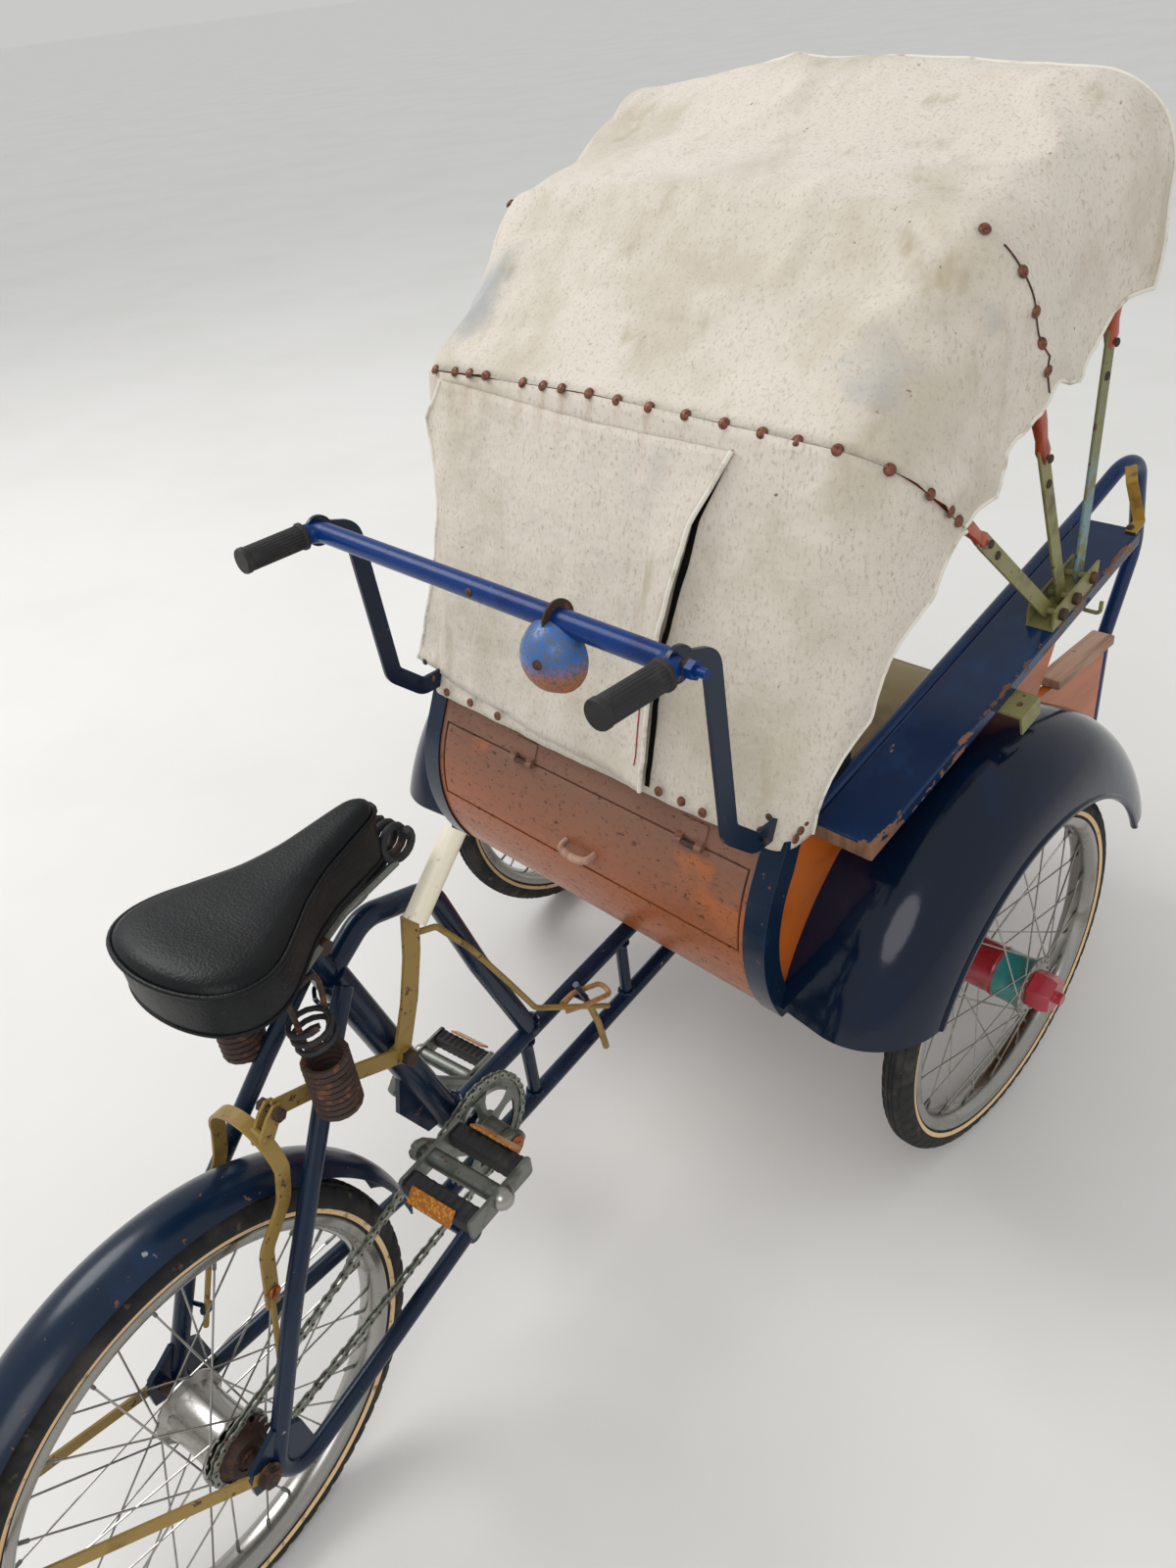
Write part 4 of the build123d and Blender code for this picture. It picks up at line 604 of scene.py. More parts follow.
# CAD nodes whose edges are broken: node, finish, edge width in mm
for node_name, finish_name, edge_width in (
    ("chassis_rails", "dark iron", 1.5), ("locker_shell", "varnished wood", 1.2),
    ("locker_door", "varnished wood", 1.2), ("side_panels", "orange wood", 1.2),
    ("cabin_boards", "varnished wood", 1.5),
    ("end_trims", "navy", 0.8), ("footwell_floor", "bare wood", 1.5),
    ("footwell_walls", "orange wood", 1.5), ("footwell_caps", "bare wood", 2.5),
    ("arm_straps", "brass", 0.7), ("plank_fittings", "olive", 0.6),
    ("fender_left", "fender", 0.5), ("fender_right", "fender", 0.5), ("crossbar_straps", "navy", 1.0),
    ("hood_brackets", "olive", 0.6), ("mudguard_stays", "ochre", 0.7), ("brake_lever", "ochre", 0.8),
    ("latch_rod", "ochre", 0.4), ("hub_cap_left", "red enamel", 1.5),
    ("hub_cap_right", "red enamel", 1.5),
):
    softened(node_name, finish_name, edge_width)

# Armrest planks: painted top and sides, the paint gone in ragged chips along the outer edges and corners
planks = Form()
PLANK_MIDDLE = CABIN_HALF + PLANK_WIDTH / 2
PLANK_SECTION = []
for corner_y, corner_z, start in ((CABIN_HALF + 73.5, -2.5, 0), (CABIN_HALF + 1.5, -1.5, 90),
                                  (CABIN_HALF + 1.5, -18.5, 180), (CABIN_HALF + 73.5, -17.5, 270)):
    for k in range(4):
        dy, dz = polar(2.5 if corner_y > PLANK_MIDDLE else 1.5, math.radians(start + 30 * k))
        PLANK_SECTION.append((corner_y + dy, corner_z + dz))
PLANK_SECTION = [(p.x, p.y) for p in evenly([Vector((y, z, 0)) for y, z in PLANK_SECTION]
                                            + [Vector((*PLANK_SECTION[0], 0))], 141)[:-1]]
PLANK_STEPS = 320
for side in (1, -1):
    rows = []
    for i in range(PLANK_STEPS + 1):
        x = mix(PLANK_REAR[0], PLANK_FRONT, i / PLANK_STEPS)
        pull = 1.8 if i in (0, PLANK_STEPS) else 0
        rows.append([Vector((x, side * (y - pull * (y - PLANK_MIDDLE) / (PLANK_WIDTH / 2)),
                             plank_top(x) + z + pull * (z + 10) * -0.1)) for y, z in PLANK_SECTION])

    def plank_finish(i, j, rows=rows):
        """1 where the paint is gone: the bottom, chips in the outer edge, and ragged corners."""
        p = rows[i][j]
        out = abs(p.y) - CABIN_HALF
        up = p.z - plank_top(p.x)
        near = min(math.hypot(out - PLANK_WIDTH, up), math.hypot(out, up) + 4,
                   p.x - PLANK_REAR[0] + max(0, 60 - out) * 0.2)
        ragged = noise.fractal(Vector((p.x / 24, p.y / 12, p.z / 12)), 0.8, 2.2, 4)
        if up < -19.3:
            return 1
        if out > 75.5 and -18 < up < -2:
            return 1 if ragged > 0.12 - max(0, (-180 - p.x) * 0.01) else 0
        return 1 if near < 0.9 + 5 * ragged + max(0, (-225 - p.x) * 0.12) * (out > 62) else 0
    planks.skin(rows, plank_finish, closed=True, ends=True)
make("painted_planks", planks, CABIN, "cabin", ["plank paint", "worn wood"], ["armrests"],
     sharp=50)

# Wheels: westwood rims, round crossed spokes with nipples, and turned hubs
RIM_BED = 204
RIM_HALF = ((RIM_BED, 0), (RIM_BED, 6), (207, 12), (211.5, 16.6), (214, 17.5), (221, 17.5), (222.4, 16.4),
            (221, 14.6), (214, 14.4), (212, 9), (208.5, 4))
RIM_PROFILE = RIM_HALF + ((208, 0),) + tuple((radius, -height) for radius, height in RIM_HALF[::-1])
SPOKES_PER_SIDE = 9
SPOKE_LEAN = 60


def wheel(name, half, centre, body, hub_rows, flange, flange_y, node):
    """Rim, hub and spokes of one wheel in one piece."""
    form = Form()
    place = Matrix.Translation(centre) @ Matrix.Rotation(-math.pi / 2, 4, "X")
    form.turned(place, RIM_PROFILE, 0, 120)
    for rows, finish in hub_rows:
        form.turned(place, rows, finish, 40)
    step = 360 / (4 * SPOKES_PER_SIDE)
    for turn in range(SPOKES_PER_SIDE):
        for side, lean, shift in ((1, 1, 0), (-1, 1, 1), (1, -1, 2), (-1, -1, 3)):
            rim_angle = math.radians((4 * turn + shift) * step)
            hub_angle = rim_angle - math.radians(lean * SPOKE_LEAN)
            seat = Vector(centre) + wheel_point(flange, hub_angle, side * flange_y)
            end = Vector(centre) + wheel_point(RIM_BED, rim_angle, side * 3)
            run = (end - seat).normalized()
            form.bar([seat + Vector((0, side * 2.6, 0)), seat + run * 3, end], 1.1, 0, 6)
            form.bar([end - run * 13, end - run * 12, end], [1.3, 2.1, 2.1], 3, 6)
            form.dome(at(seat + Vector((0, side * 2.2, 0)), (0, side, 0)), 2.3, 1.4, 0, 8)
    make(name, form, half, body, ["plated steel", "red enamel", "teal enamel", "grey steel"],
         [node])


def front_hub(s):
    """Hub rows of a front wheel on side s: red barrel inside, teal outside, bright flanges."""
    barrel = [(33, -42 * s), (33, -4 * s), (34.5, 0), (33, 4 * s)]
    outer = [(33, 4 * s), (33, 30 * s), (36, 38 * s), (38.5, 42 * s)]
    return (
        ([(7.2, -46 * s), (39, -46 * s), (40, -45 * s), (40, -43 * s), (38.5, -42 * s), (33, -41.5 * s)], 0),
        (barrel, 1), (outer, 2),
        ([(33, 41.5 * s), (39, 42 * s), (40, 43 * s), (40, 45 * s), (38.5, 46 * s), (7.2, 46 * s)], 0),
    )


for side_name, side in (("left", 1), ("right", -1)):
    wheel(f"spoked_wheel_{side_name}", CABIN, (0, side * HALF_TRACK, AXLE_Z), f"front_wheel_{side_name}",
          front_hub(side), 37, 44, f"wheel_front_{side_name}")
# Domed bright shells make the rear hub wide in the middle
rear_hub = (([(5.2, -38), (37, -38), (38, -37), (38, -35), (36, -34), (31, -30), (29.5, -20), (29, 0),
              (29.5, 20), (31, 30), (36, 34), (38, 35), (38, 37), (37, 38), (5.2, 38)], 0),)
wheel("spoked_wheel_rear", REAR, (0, 0, AXLE_Z), "rear_wheel", rear_hub, 35, 36, "wheel_rear")

# Tyres: two middle ribs with fine grooves, a row of curved knobs on each shoulder, a cream line on the wall
# columns: across in mm, radius, kind of tread there (0 none, 1 rib, 2 knob)
TYRE_HALF = (
    (16.5, 222.6, 0), (17.7, 225.2, 0), (19.2, 230.6, 0), (19.7, 233.5, 0), (20, 236, 2), (19.4, 240, 2),
    (17.6, 244.5, 2), (15, 248.4, 2), (12.6, 250.6, 2), (11.4, 251.2, 0), (9.6, 252.4, 0), (8.8, 252.9, 1),
    (6.6, 253.5, 1), (4.2, 253.8, 1), (3.4, 253.8, 0), (1.2, 254, 0), (0.6, 254, 1),
)
TYRE_ROWS = tuple((-across, radius, tread) for across, radius, tread in TYRE_HALF) + TYRE_HALF[::-1]
KNOBS = 66
KNOB_STEPS = 6


def tyre(name, half, centre, body, node):
    """Tyre shell with its tread."""
    form = Form()
    rows = []
    count = KNOBS * KNOB_STEPS
    for i in range(count):
        row = []
        for across, radius, tread in TYRE_ROWS:
            swing = abs(across) * 0.16
            phase = (i + swing) % KNOB_STEPS
            deep = 0.0
            if tread == 0 and abs(across) < 12:
                deep = 1.8
            elif tread == 2:
                deep = 2.4 if phase < 2 else 0.0
            elif tread == 1 and i % 3 == 0:
                deep = 0.7
            row.append(Vector(centre) + wheel_point(radius - deep, math.tau * i / count, across))
        rows.append(row)
    rows.append(rows[0])
    cream = {1, len(TYRE_ROWS) - 3}
    form.skin(rows, lambda i, j: 1 if j in cream else 0)
    make(name, form, half, body, ["tyre rubber", "cream line"], [node], sharp=28)


for side_name, side in (("left", 1), ("right", -1)):
    tyre(f"tyre_{side_name}", CABIN, (0, side * HALF_TRACK, AXLE_Z), f"front_wheel_{side_name}",
         f"tyre_front_{side_name}")
tyre("tyre_back", REAR, (0, 0, AXLE_Z), "rear_wheel", "tyre_rear")

# Chain wheels and chain
ring_pitch = CHAIN_PITCH / (2 * math.sin(math.pi / RING_TEETH))
sprocket_pitch = CHAIN_PITCH / (2 * math.sin(math.pi / SPROCKET_TEETH))
ring_centre = Vector((CRANK[0], 0, CRANK[1]))
sprocket_centre = Vector((0, 0, AXLE_Z))
gap = (ring_centre - sprocket_centre).length
line_angle = math.atan2(CRANK[1] - AXLE_Z, CRANK[0])


def chain_path(pitch_ring, pitch_sprocket, count):
    """Points of the chain's pitch line, at equal spacing, from the ring's upper tangent point."""
    lean = math.asin((pitch_ring - pitch_sprocket) / gap)
    path = []
    top, low = line_angle + math.pi / 2 + lean, line_angle - math.pi / 2 - lean
    for i in range(81):
        path.append(ring_centre + wheel_point(pitch_ring, mix(low, top, i / 80)))
    for i in range(61):
        path.append(sprocket_centre + wheel_point(pitch_sprocket, mix(top, low + math.tau, i / 60)))
    path.append(path[0].copy())
    return evenly(path, count + 1)[:-1]


LINKS = 2 * round((2 * gap + math.pi * (ring_pitch + sprocket_pitch)) / CHAIN_PITCH / 2)
chain_points = chain_path(ring_pitch, sprocket_pitch, LINKS)
chain = Form()
for i, pin in enumerate(chain_points):
    after = chain_points[(i + 1) % LINKS]
    run = after - pin
    turn = math.atan2(run.z, run.x)
    length = run.length
    waist = []
    for end_x, start in ((length, -90), (0, 90)):
        for k in range(7):
            dx, dz = polar(4.0, math.radians(start + 30 * k))
            waist.append((end_x + dx, dz))
        waist.append((length / 2, 2.9 if end_x else -2.9))
    place = Matrix.Translation(pin + Vector((0, CHAIN_Y, 0))) @ Matrix.Rotation(-turn, 4, "Y") \
        @ Matrix.Rotation(math.pi / 2, 4, "X")
    inner, outer = ((1.6, 2.5), (2.6, 3.5))[i % 2]
    for sign in (1, -1):
        low, high = sorted((sign * inner, sign * outer))
        chain.plate(place, waist, low, high)
    chain.bar([pin + Vector((0, CHAIN_Y - 4.0, 0)), pin + Vector((0, CHAIN_Y + 4.0, 0))], 1.8, 1, 8)
make("link_chain", chain, REAR, "rear_frame", ["chain steel", "rust"], ["chain"], edge=0.2)


def toothed(form, centre, pitch, teeth, y0, y1, finish, phase):
    """Toothed rim of a chain wheel, with its teeth between the chain's pins."""
    outline = []
    for k in range(teeth):
        for share, grow in ((-0.34, -4.4), (-0.2, -1.5), (-0.07, 2.6), (0.07, 2.6), (0.2, -1.5),
                            (0.34, -4.4)):
            outline.append(polar(pitch + grow, phase + math.tau * (k + share) / teeth))
    inner = [polar(pitch - 9, math.atan2(z, x)) for x, z in outline]

    def loop(points, y):
        return [centre + Vector((x, y, z)) for x, z in points]
    form.skin([loop(inner, y0), loop(outline, y0), loop(outline, y1), loop(inner, y1), loop(inner, y0)],
              finish, closed=True)


first_pin = math.atan2(chain_points[0].z - CRANK[1], chain_points[0].x - CRANK[0])
crank = Form()
toothed(crank, ring_centre, ring_pitch, RING_TEETH, CHAIN_Y - 1.2, CHAIN_Y + 1.2, 0,
        first_pin + math.pi / RING_TEETH)
# Pressed web: five spokes with wide openings between them, and a bright inner band
web_rows = []
for r, y in ((ring_pitch - 9, -1.2), (ring_pitch - 14, -1.2), (ring_pitch - 17, -3.0)):
    web_rows.append([ring_centre + wheel_point(r, math.tau * k / 80, CHAIN_Y + y) for k in range(80)])
crank.skin(web_rows, lambda i, j: 1 if i == 1 else 0, closed=True)
web_rows = [[p + Vector((0, 2.4, 0)) for p in row] for row in web_rows]
crank.skin(web_rows[::-1], 0, closed=True)
for k in range(5):
    a = math.tau * k / 5 + 0.3
    out = wheel_point(1, a)
    side_way = Vector((-math.sin(a), 0, math.cos(a)))
    rows = []
    for reach, wide in ((15, 11), (26, 7.5), (38, 7.5), (ring_pitch - 13.5, 13)):
        core = ring_centre + out * reach + Vector((0, CHAIN_Y - 2.2, 0))
        rows.append([core - side_way * wide, core - side_way * wide * 0.4 - Vector((0, 1.6, 0)),
                     core + side_way * wide * 0.4 - Vector((0, 1.6, 0)), core + side_way * wide,
                     core + Vector((0, 1.2, 0))])
    crank.skin(rows, 0, closed=True, ends=True)
place_right = (Matrix.Translation(ring_centre + Vector((0, CHAIN_Y + 2, 0)))
               @ Matrix.Rotation(math.pi / 2, 4, "X"))
crank.turned(place_right, [(0, 0), (22, 0), (22, 3), (17, 6), (16, 31), (0, 31)], 0, 36)
spindle_half = Vector((0, 89, 0))
crank.bar([ring_centre - spindle_half, ring_centre + spindle_half], 8, 0, 20)
for side, sign in ((-1, 1), (1, -1)):
    reach = wheel_point(sign * CRANK_LENGTH, CRANK_ANGLE)
    way = reach.normalized()
    across = Vector((-way.z, 0, way.x))
    rows = []
    for share, wide, thick in ((-0.1, 12, 5.2), (-0.05, 16, 6), (0.0, 17, 6), (0.07, 16, 6), (0.2, 10.5, 5.4),
                               (0.5, 9.5, 5.0), (0.85, 9.5, 5.0), (0.94, 11, 5.4), (1.0, 12, 5.4),
                               (1.05, 9.5, 5.2), (1.075, 5, 4.6)):
        core = ring_centre + reach * share + Vector((0, side * 84, 0))
        rows.append([core + across * wide * a + Vector((0, thick * b, 0)) for a, b in (
            (-1, -0.5), (-0.8, -1), (-0.35, -1), (0.0, -0.72), (0.35, -1), (0.8, -1), (1, -0.5), (1, 0.5),
            (0.8, 1), (0.35, 1), (0.0, 0.72), (-0.35, 1), (-0.8, 1), (-1, 0.5))])
    crank.skin(rows, 0, closed=True, ends=True)
    eye = ring_centre + Vector((0, side * 90, 0))
    crank.turned(at(eye, (0, side, 0)),
                 [(0, 0), (13, 0), (13.5, 1.5), (11, 3), (7, 3), (6, 5), (0, 5.5)], 2, 28)
    pin_start = ring_centre + reach + Vector((0, side * 88, 0))
    crank.bar([pin_start, pin_start + Vector((0, side * 90, 0))], 4.9, 0, 16)
make("pressed_crankset", crank, REAR, "cranks", ["grey steel", "plated steel", "copper"],
     ["crankset"], edge=0.3)

# The sprocket's teeth lie between the pins too, counted from a pin that is on its pitch circle
free = Form()
sprocket_pin = min(chain_points, key=lambda p: abs((p - sprocket_centre).length - sprocket_pitch))
pin_angle = math.atan2(sprocket_pin.z - AXLE_Z, sprocket_pin.x)
toothed(free, sprocket_centre, sprocket_pitch, SPROCKET_TEETH, CHAIN_Y - 1.2, CHAIN_Y + 1.2, 0,
        pin_angle + math.pi / SPROCKET_TEETH)
free_place = Matrix.Translation((0, -38, AXLE_Z)) @ Matrix.Rotation(math.pi / 2, 4, "X")
free.turned(free_place, [(5.2, 0), (24, 0), (24.5, 2), (24, 5), (sprocket_pitch - 8, 5.8),
                         (sprocket_pitch - 8, 8.2), (23, 9), (22, 14), (20, 18), (13, 18), (12, 16.5),
                         (9, 16.5), (8.5, 20), (5.2, 20), (5.2, 0)], 0, 36)
make("freewheel_toothed", free, REAR, "rear_wheel", ["rust"], ["freewheel"], edge=0.2)

# Pedals: ribbed rubber blocks between steel plates, amber reflectors, a bright end cap
for side_name, side, sign in (("right", -1, 1), ("left", 1, -1)):
    dx, dz = polar(sign * CRANK_LENGTH, CRANK_ANGLE)
    x, z = CRANK[0] + dx, CRANK[1] + dz
    pedal = Form()
    for y in (98, 186):
        outline = [(-45, -9), (-42, -12), (42, -12), (45, -9), (45, 9), (42, 12), (-42, 12), (-45, 9)]
        place = at((x, side * (y + 2), z), (0, side, 0))
        pedal.plate(place, [(b, a) for a, b in outline] if abs(place.col[0].z) > 0.5 else outline, -2, 2, 1)
    for end in (-1, 1):
        rows = []
        steps = 19
        for k in range(steps):
            y = side * mix(102, 186, k / (steps - 1))
            h = 10.5 if k % 2 else 8.5
            rows.append([Vector((x + end * 44 + dx * end, y, z + dz * h / 10)) for dx, dz in (
                (0, -7), (-4, -10), (-18, -10), (-21, -7), (-21, 7), (-18, 10), (-4, 10), (0, 7))])
        pedal.skin(rows, 0, closed=True, ends=True)
        tilt = Matrix.Translation((x + end * 43, side * 143, z + 4)) @ Matrix.Rotation(
            math.radians(end * 48), 4, "Y")
        pedal.skin([[tilt @ Vector((a, b, up)) for a, b in ((-8.5, -27), (8.5, -27), (8.5, 27), (-8.5, 27))]
                    for up in (4.5, 7.2)], 2, closed=True, ends=True)
    pedal.bar([(x, side * 98, z), (x, side * 190, z)], 9.5, 1, 20)
    pedal.turned(at((x, side * 188, z), (0, side, 0)),
                 [(9, -3), (12, -2), (12.4, 2), (11.6, 6), (9, 10), (5, 12.6), (0, 13.5)], 3, 28)
    make(f"block_pedal_{side_name}", pedal, REAR, f"pedal_{side_name}",
         ["grip rubber", "grey steel", "reflector", "plated steel"],
         [f"pedal_{side_name}"], edge=0.4)

# Hood. Shapes of the three bows: pivot x, lean, inset, crown height, drop, shoulder radius, bar length
BOWS = (
    (120, 42, 15.5, 448, 26, 65, 212),
    (150, 67, 0, 495, 35, 80, 203),
    (190, 90, -2, 531, 38, 75, 264),
)
CROWN = 1200
HOOD_CENTRE = Vector((150, 0, 718))


def bow_path(bow, start, lift):
    """Half-open path of a bow's middle line in its own plane, moved out by a lift."""
    inset, height, drop, corner, bar = bow[2:]
    half = HOOD_Y - inset
    low = (HOOD_Y - inset * (start - bar) / (height - bar) + lift, start, 0)
    slope = math.atan2(drop, half - corner / 2)
    apex = height + CROWN * (1 / math.cos(slope) - 1) + lift / math.cos(slope)
    shoulder = (half + lift, apex - (half + lift) * math.tan(slope), 0)
    path = [low, shoulder, (0, apex, 0), (-shoulder[0], shoulder[1], 0), (-low[0], low[1], 0)]
    return rounded(path, [corner + lift, CROWN + lift, corner + lift], 6)


def bow_point(bow, across, up, ahead=0.0):
    """Point of a bow's plane in the cabin's frame: across to the left, up along the bow, ahead of it."""
    pivot_x, lean = bow[:2]
    a = math.radians(lean)
    origin = Vector((pivot_x, 0, plank_top(pivot_x) + 14))
    return origin + Vector((-math.cos(a) * up + math.sin(a) * ahead, across,
                            math.sin(a) * up + math.cos(a) * ahead))


def bow_curve(bow, start, lift, ahead, count):
    """Evenly spaced points of the cloth over one bow."""
    return [bow_point(bow, p.x, p.y, ahead) for p in evenly(bow_path(bow, start, lift), count)]


# Bows: flat bar below, turned wood above
BOW_POINTS = 160
for bow, name, body, bar_finish in zip(BOWS, ("bow_rear", "bow_mid", "bow_front"),
                                       ("cabin", "hood_mid", "hood_front"), ("olive", "olive", "blue olive")):
    form = Form()
    bar = bow[6]
    way = bow_point(bow, 0, 1) - bow_point(bow, 0, 0)
    for side in (1, -1):
        rows = []
        for up, wide in ((-9, 3), (-7, 6.5), (-3, 8.6), (0, 9), (20, 9), (bar + 12, 9), (bar + 20, 7)):
            rows.append([bow_point(bow, side * (HOOD_Y + thick), up, ahead) for thick, ahead in (
                (-2, -wide), (-1.2, -wide - 0.5), (1.2, -wide - 0.5), (2, -wide), (2, wide),
                (1.2, wide + 0.5), (-1.2, wide + 0.5), (-2, wide))])
        form.skin(rows, 0, closed=True, ends=True)
        for up in (bar + 6, bar - 30):
            head_out = 7.5 if up > bar else 2
            form.dome(at(bow_point(bow, side * (HOOD_Y + head_out), up), (0, side, 0)), 5, 3, 2)
        form.hexagon(at(bow_point(bow, side * (HOOD_Y + 17), 0), (0, side, 0)), 13, 7, 2)
    path = [bow_point(bow, p.x, p.y) for p in evenly(bow_path(bow, bar, 0), BOW_POINTS)]
    width = [along(((0, 0.62), (2, 1.0), (4, 0.8), (7, 1.0)), min(k, BOW_POINTS - 1 - k))
             for k in range(BOW_POINTS)]
    section = [polar(8.4, math.tau * k / 12 + 0.26) for k in range(12)]
    side_axis = bow_point(bow, 0, 0, 1) - bow_point(bow, 0, 0)
    form.bar(path, width, 1, shape=[(max(-7, min(7, a)), max(-8, min(8, b))) for a, b in section],
             up=tuple(side_axis))
    make(f"{name}_shaped", form, CABIN, body, [bar_finish, "rib wood", "rust"], [name],
         edge=0.3)

# Canvas over the bows: one sheet, sagging between them, scalloped along its lower edge
# columns: angle from level rear in degrees, distance of the edge from the hood's centre in mm
SCALLOPS = ((35, 304), (42, 284), (47.6, 270), (51, 276), (53, 286), (60, 281), (67, 285), (71, 292),
            (76, 276), (81, 268), (86, 282), (90, 300), (92, 316), (100, 330), (107.5, 339), (125, 372))
CLOTH_COLUMNS = 241
BAY_ROWS = 18
LIP_ROWS = 6
# Height of the line that the hood's cloth bulges away from
HOOD_MIDDLE = 930
rear_line = bow_curve(BOWS[0], 150, 11.2, -8.5, 400)
mid_line = bow_curve(BOWS[1], 150, 12.0, 0, 400)
front_line = bow_curve(BOWS[2], 150, 12.5, 0, 400)
lip_line = bow_curve(BOWS[2], 150, 12.5, 45, 400)


def outward(p):
    """Way out of the hood at a point of its cloth."""
    return (p - Vector((p.x, 0, HOOD_MIDDLE))).normalized()


def hood_row(low_line, high_line, share, sag):
    """One row of the cloth, cut at the scalloped edge."""
    row = [a.lerp(b, share) for a, b in zip(low_line, high_line)]
    kept = []
    for p in row:
        out = Vector((p.x - HOOD_CENTRE.x, 0, p.z - HOOD_CENTRE.z))
        angle = math.degrees(math.atan2(out.z, -out.x))
        if out.length >= along(SCALLOPS, angle):
            kept.append(p)
    kept = evenly(kept, CLOTH_COLUMNS)
    shaped = []
    for k, p in enumerate(kept):
        away = outward(p)
        edge_share = min(k, CLOTH_COLUMNS - 1 - k) / (CLOTH_COLUMNS - 1)
        pull = sag * math.sin(math.pi * share) * (0.6 + 1.0 * ease(edge_share * 5))
        shaped.append(p - away * pull)
    return shaped


canvas_rows = [hood_row(rear_line, mid_line, i / BAY_ROWS, 7) for i in range(BAY_ROWS + 1)]
canvas_rows += [hood_row(mid_line, front_line, i / BAY_ROWS, 6) for i in range(1, BAY_ROWS + 1)]
canvas_rows += [hood_row(front_line, lip_line, i / LIP_ROWS, 0) for i in range(1, LIP_ROWS + 1)]


def wrinkled(rows, size, height, stretch, crease=0.0):
    """Cloth rows moved in and out by soft wrinkles, with sharper folds where crease is given."""
    done = []
    for i, row in enumerate(rows):
        line = []
        for j, p in enumerate(row):
            a = row[min(j + 1, len(row) - 1)] - row[max(j - 1, 0)]
            b = rows[min(i + 1, len(rows) - 1)][j] - rows[max(i - 1, 0)][j]
            face = a.cross(b)
            face = face.normalized() if face.length > 1e-9 else Vector((0, 0, 1))
            spot = Vector((p.x / size / stretch[0], p.y / size / stretch[1], p.z / size / stretch[2]))
            lift = noise.noise(spot) + 0.5 * noise.noise(spot * 2.3 + Vector((7, 3, 1)))
            lift += crease * (max(0, 1 - 5 * abs(noise.noise(spot * 0.8 + Vector((3, 8, 5))))) ** 1.5 - 0.25)
            line.append(p + face * (lift * height))
        done.append(line)
    return done


canvas_rows = wrinkled(wrinkled(canvas_rows, 42, 1.7, (1.0, 1.7, 2.2)), 110, 6.0, (1.0, 2.0, 1.3), 1.3)
canvas_form = Form()
canvas_form.skin(canvas_rows)
canvas = make("hood_canvas", canvas_form, CABIN, None, ["canvas"], ["canvas_rear", "canvas_front"],
              sharp=80, thick=1.4)

# White piping along the canvas's two lower edges and its front edge
trim = Form()
for column in (0, -1):
    trim.bar([row[column] for row in canvas_rows], 2.6, 0, 8)
trim.bar(canvas_rows[-1], 2.6, 0, 8)
front_trim = make("hood_piping", trim, CABIN, None, ["piping"])

# Dark line along the lapped seam beside the mid bow's nails: the seam's thread, drawn dark also as painted shadow
# of the lap's edge
SEAM_COLUMNS = 39
seam = Form()
mid_row = canvas_rows[BAY_ROWS]
for first in (2, CLOTH_COLUMNS - 2 - SEAM_COLUMNS):
    seam.bar([p + outward(p) * 1.5 for p in mid_row[first:first + SEAM_COLUMNS]], 0.9, 0, 6)
lap_thread_and_shadow = make("hood_lap_thread_and_shadow", seam, CABIN, None, ["rust"])
for piece in (canvas, front_trim, lap_thread_and_shadow):
    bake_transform(piece)

# Nails. Columns: across and up in the bow's plane, in mm, as they are driven along the seams
REAR_NAILS = ((303, 449), (258, 460), (226, 459), (189, 463), (127, 470), (88, 467), (55, 458),
              (10, 457), (-29, 453), (-71, 446), (-120, 439), (-168, 438), (-210, 429), (-252, 423),
              (-290, 409), (-313, 382), (-329, 361), (-333, 328), (-339, 300))
MID_NAILS = ((-310, 447), (-344, 423), (-358, 389), (-362, 352), (-366, 323))


def on_line(line, target):
    """Nearest point of a cloth line, and the line's run there."""
    best = min(range(1, len(line) - 1), key=lambda k: (line[k] - target).length)
    return line[best], line[best + 1] - line[best - 1]


rear_nails, mid_nails = Form(), Form()
for form, bow, nails, row in ((rear_nails, BOWS[0], REAR_NAILS, canvas_rows[0]),
                              (mid_nails, BOWS[1], MID_NAILS, mid_row)):
    plane_way = bow_point(bow, 0, 0, 1) - bow_point(bow, 0, 0)
    for y, up in nails:
        for mirrored in ((1, -1) if form is mid_nails else (1,)):
            spot, run = on_line(row, bow_point(bow, y * mirrored, up))
            out = plane_way.cross(run).normalized()
            if out.dot(outward(spot)) < 0:
                out = -out
            form.dome(at(spot + out * 1.4, out), 6.2, 3.4, 0, 12)
nail_spots = [bow_point(BOWS[0], y, up, -10) for y, up in REAR_NAILS]
nail_spots += [bow_point(BOWS[1], y * way, up, 0) for y, up in MID_NAILS for way in (1, -1)]
stain(canvas, nail_spots, 9, 34)
make("rear_seam_nails", rear_nails, CABIN, "cabin", ["nail"])
driven = make("mid_seam_nails", mid_nails, CABIN, None, ["nail"])
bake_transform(driven)

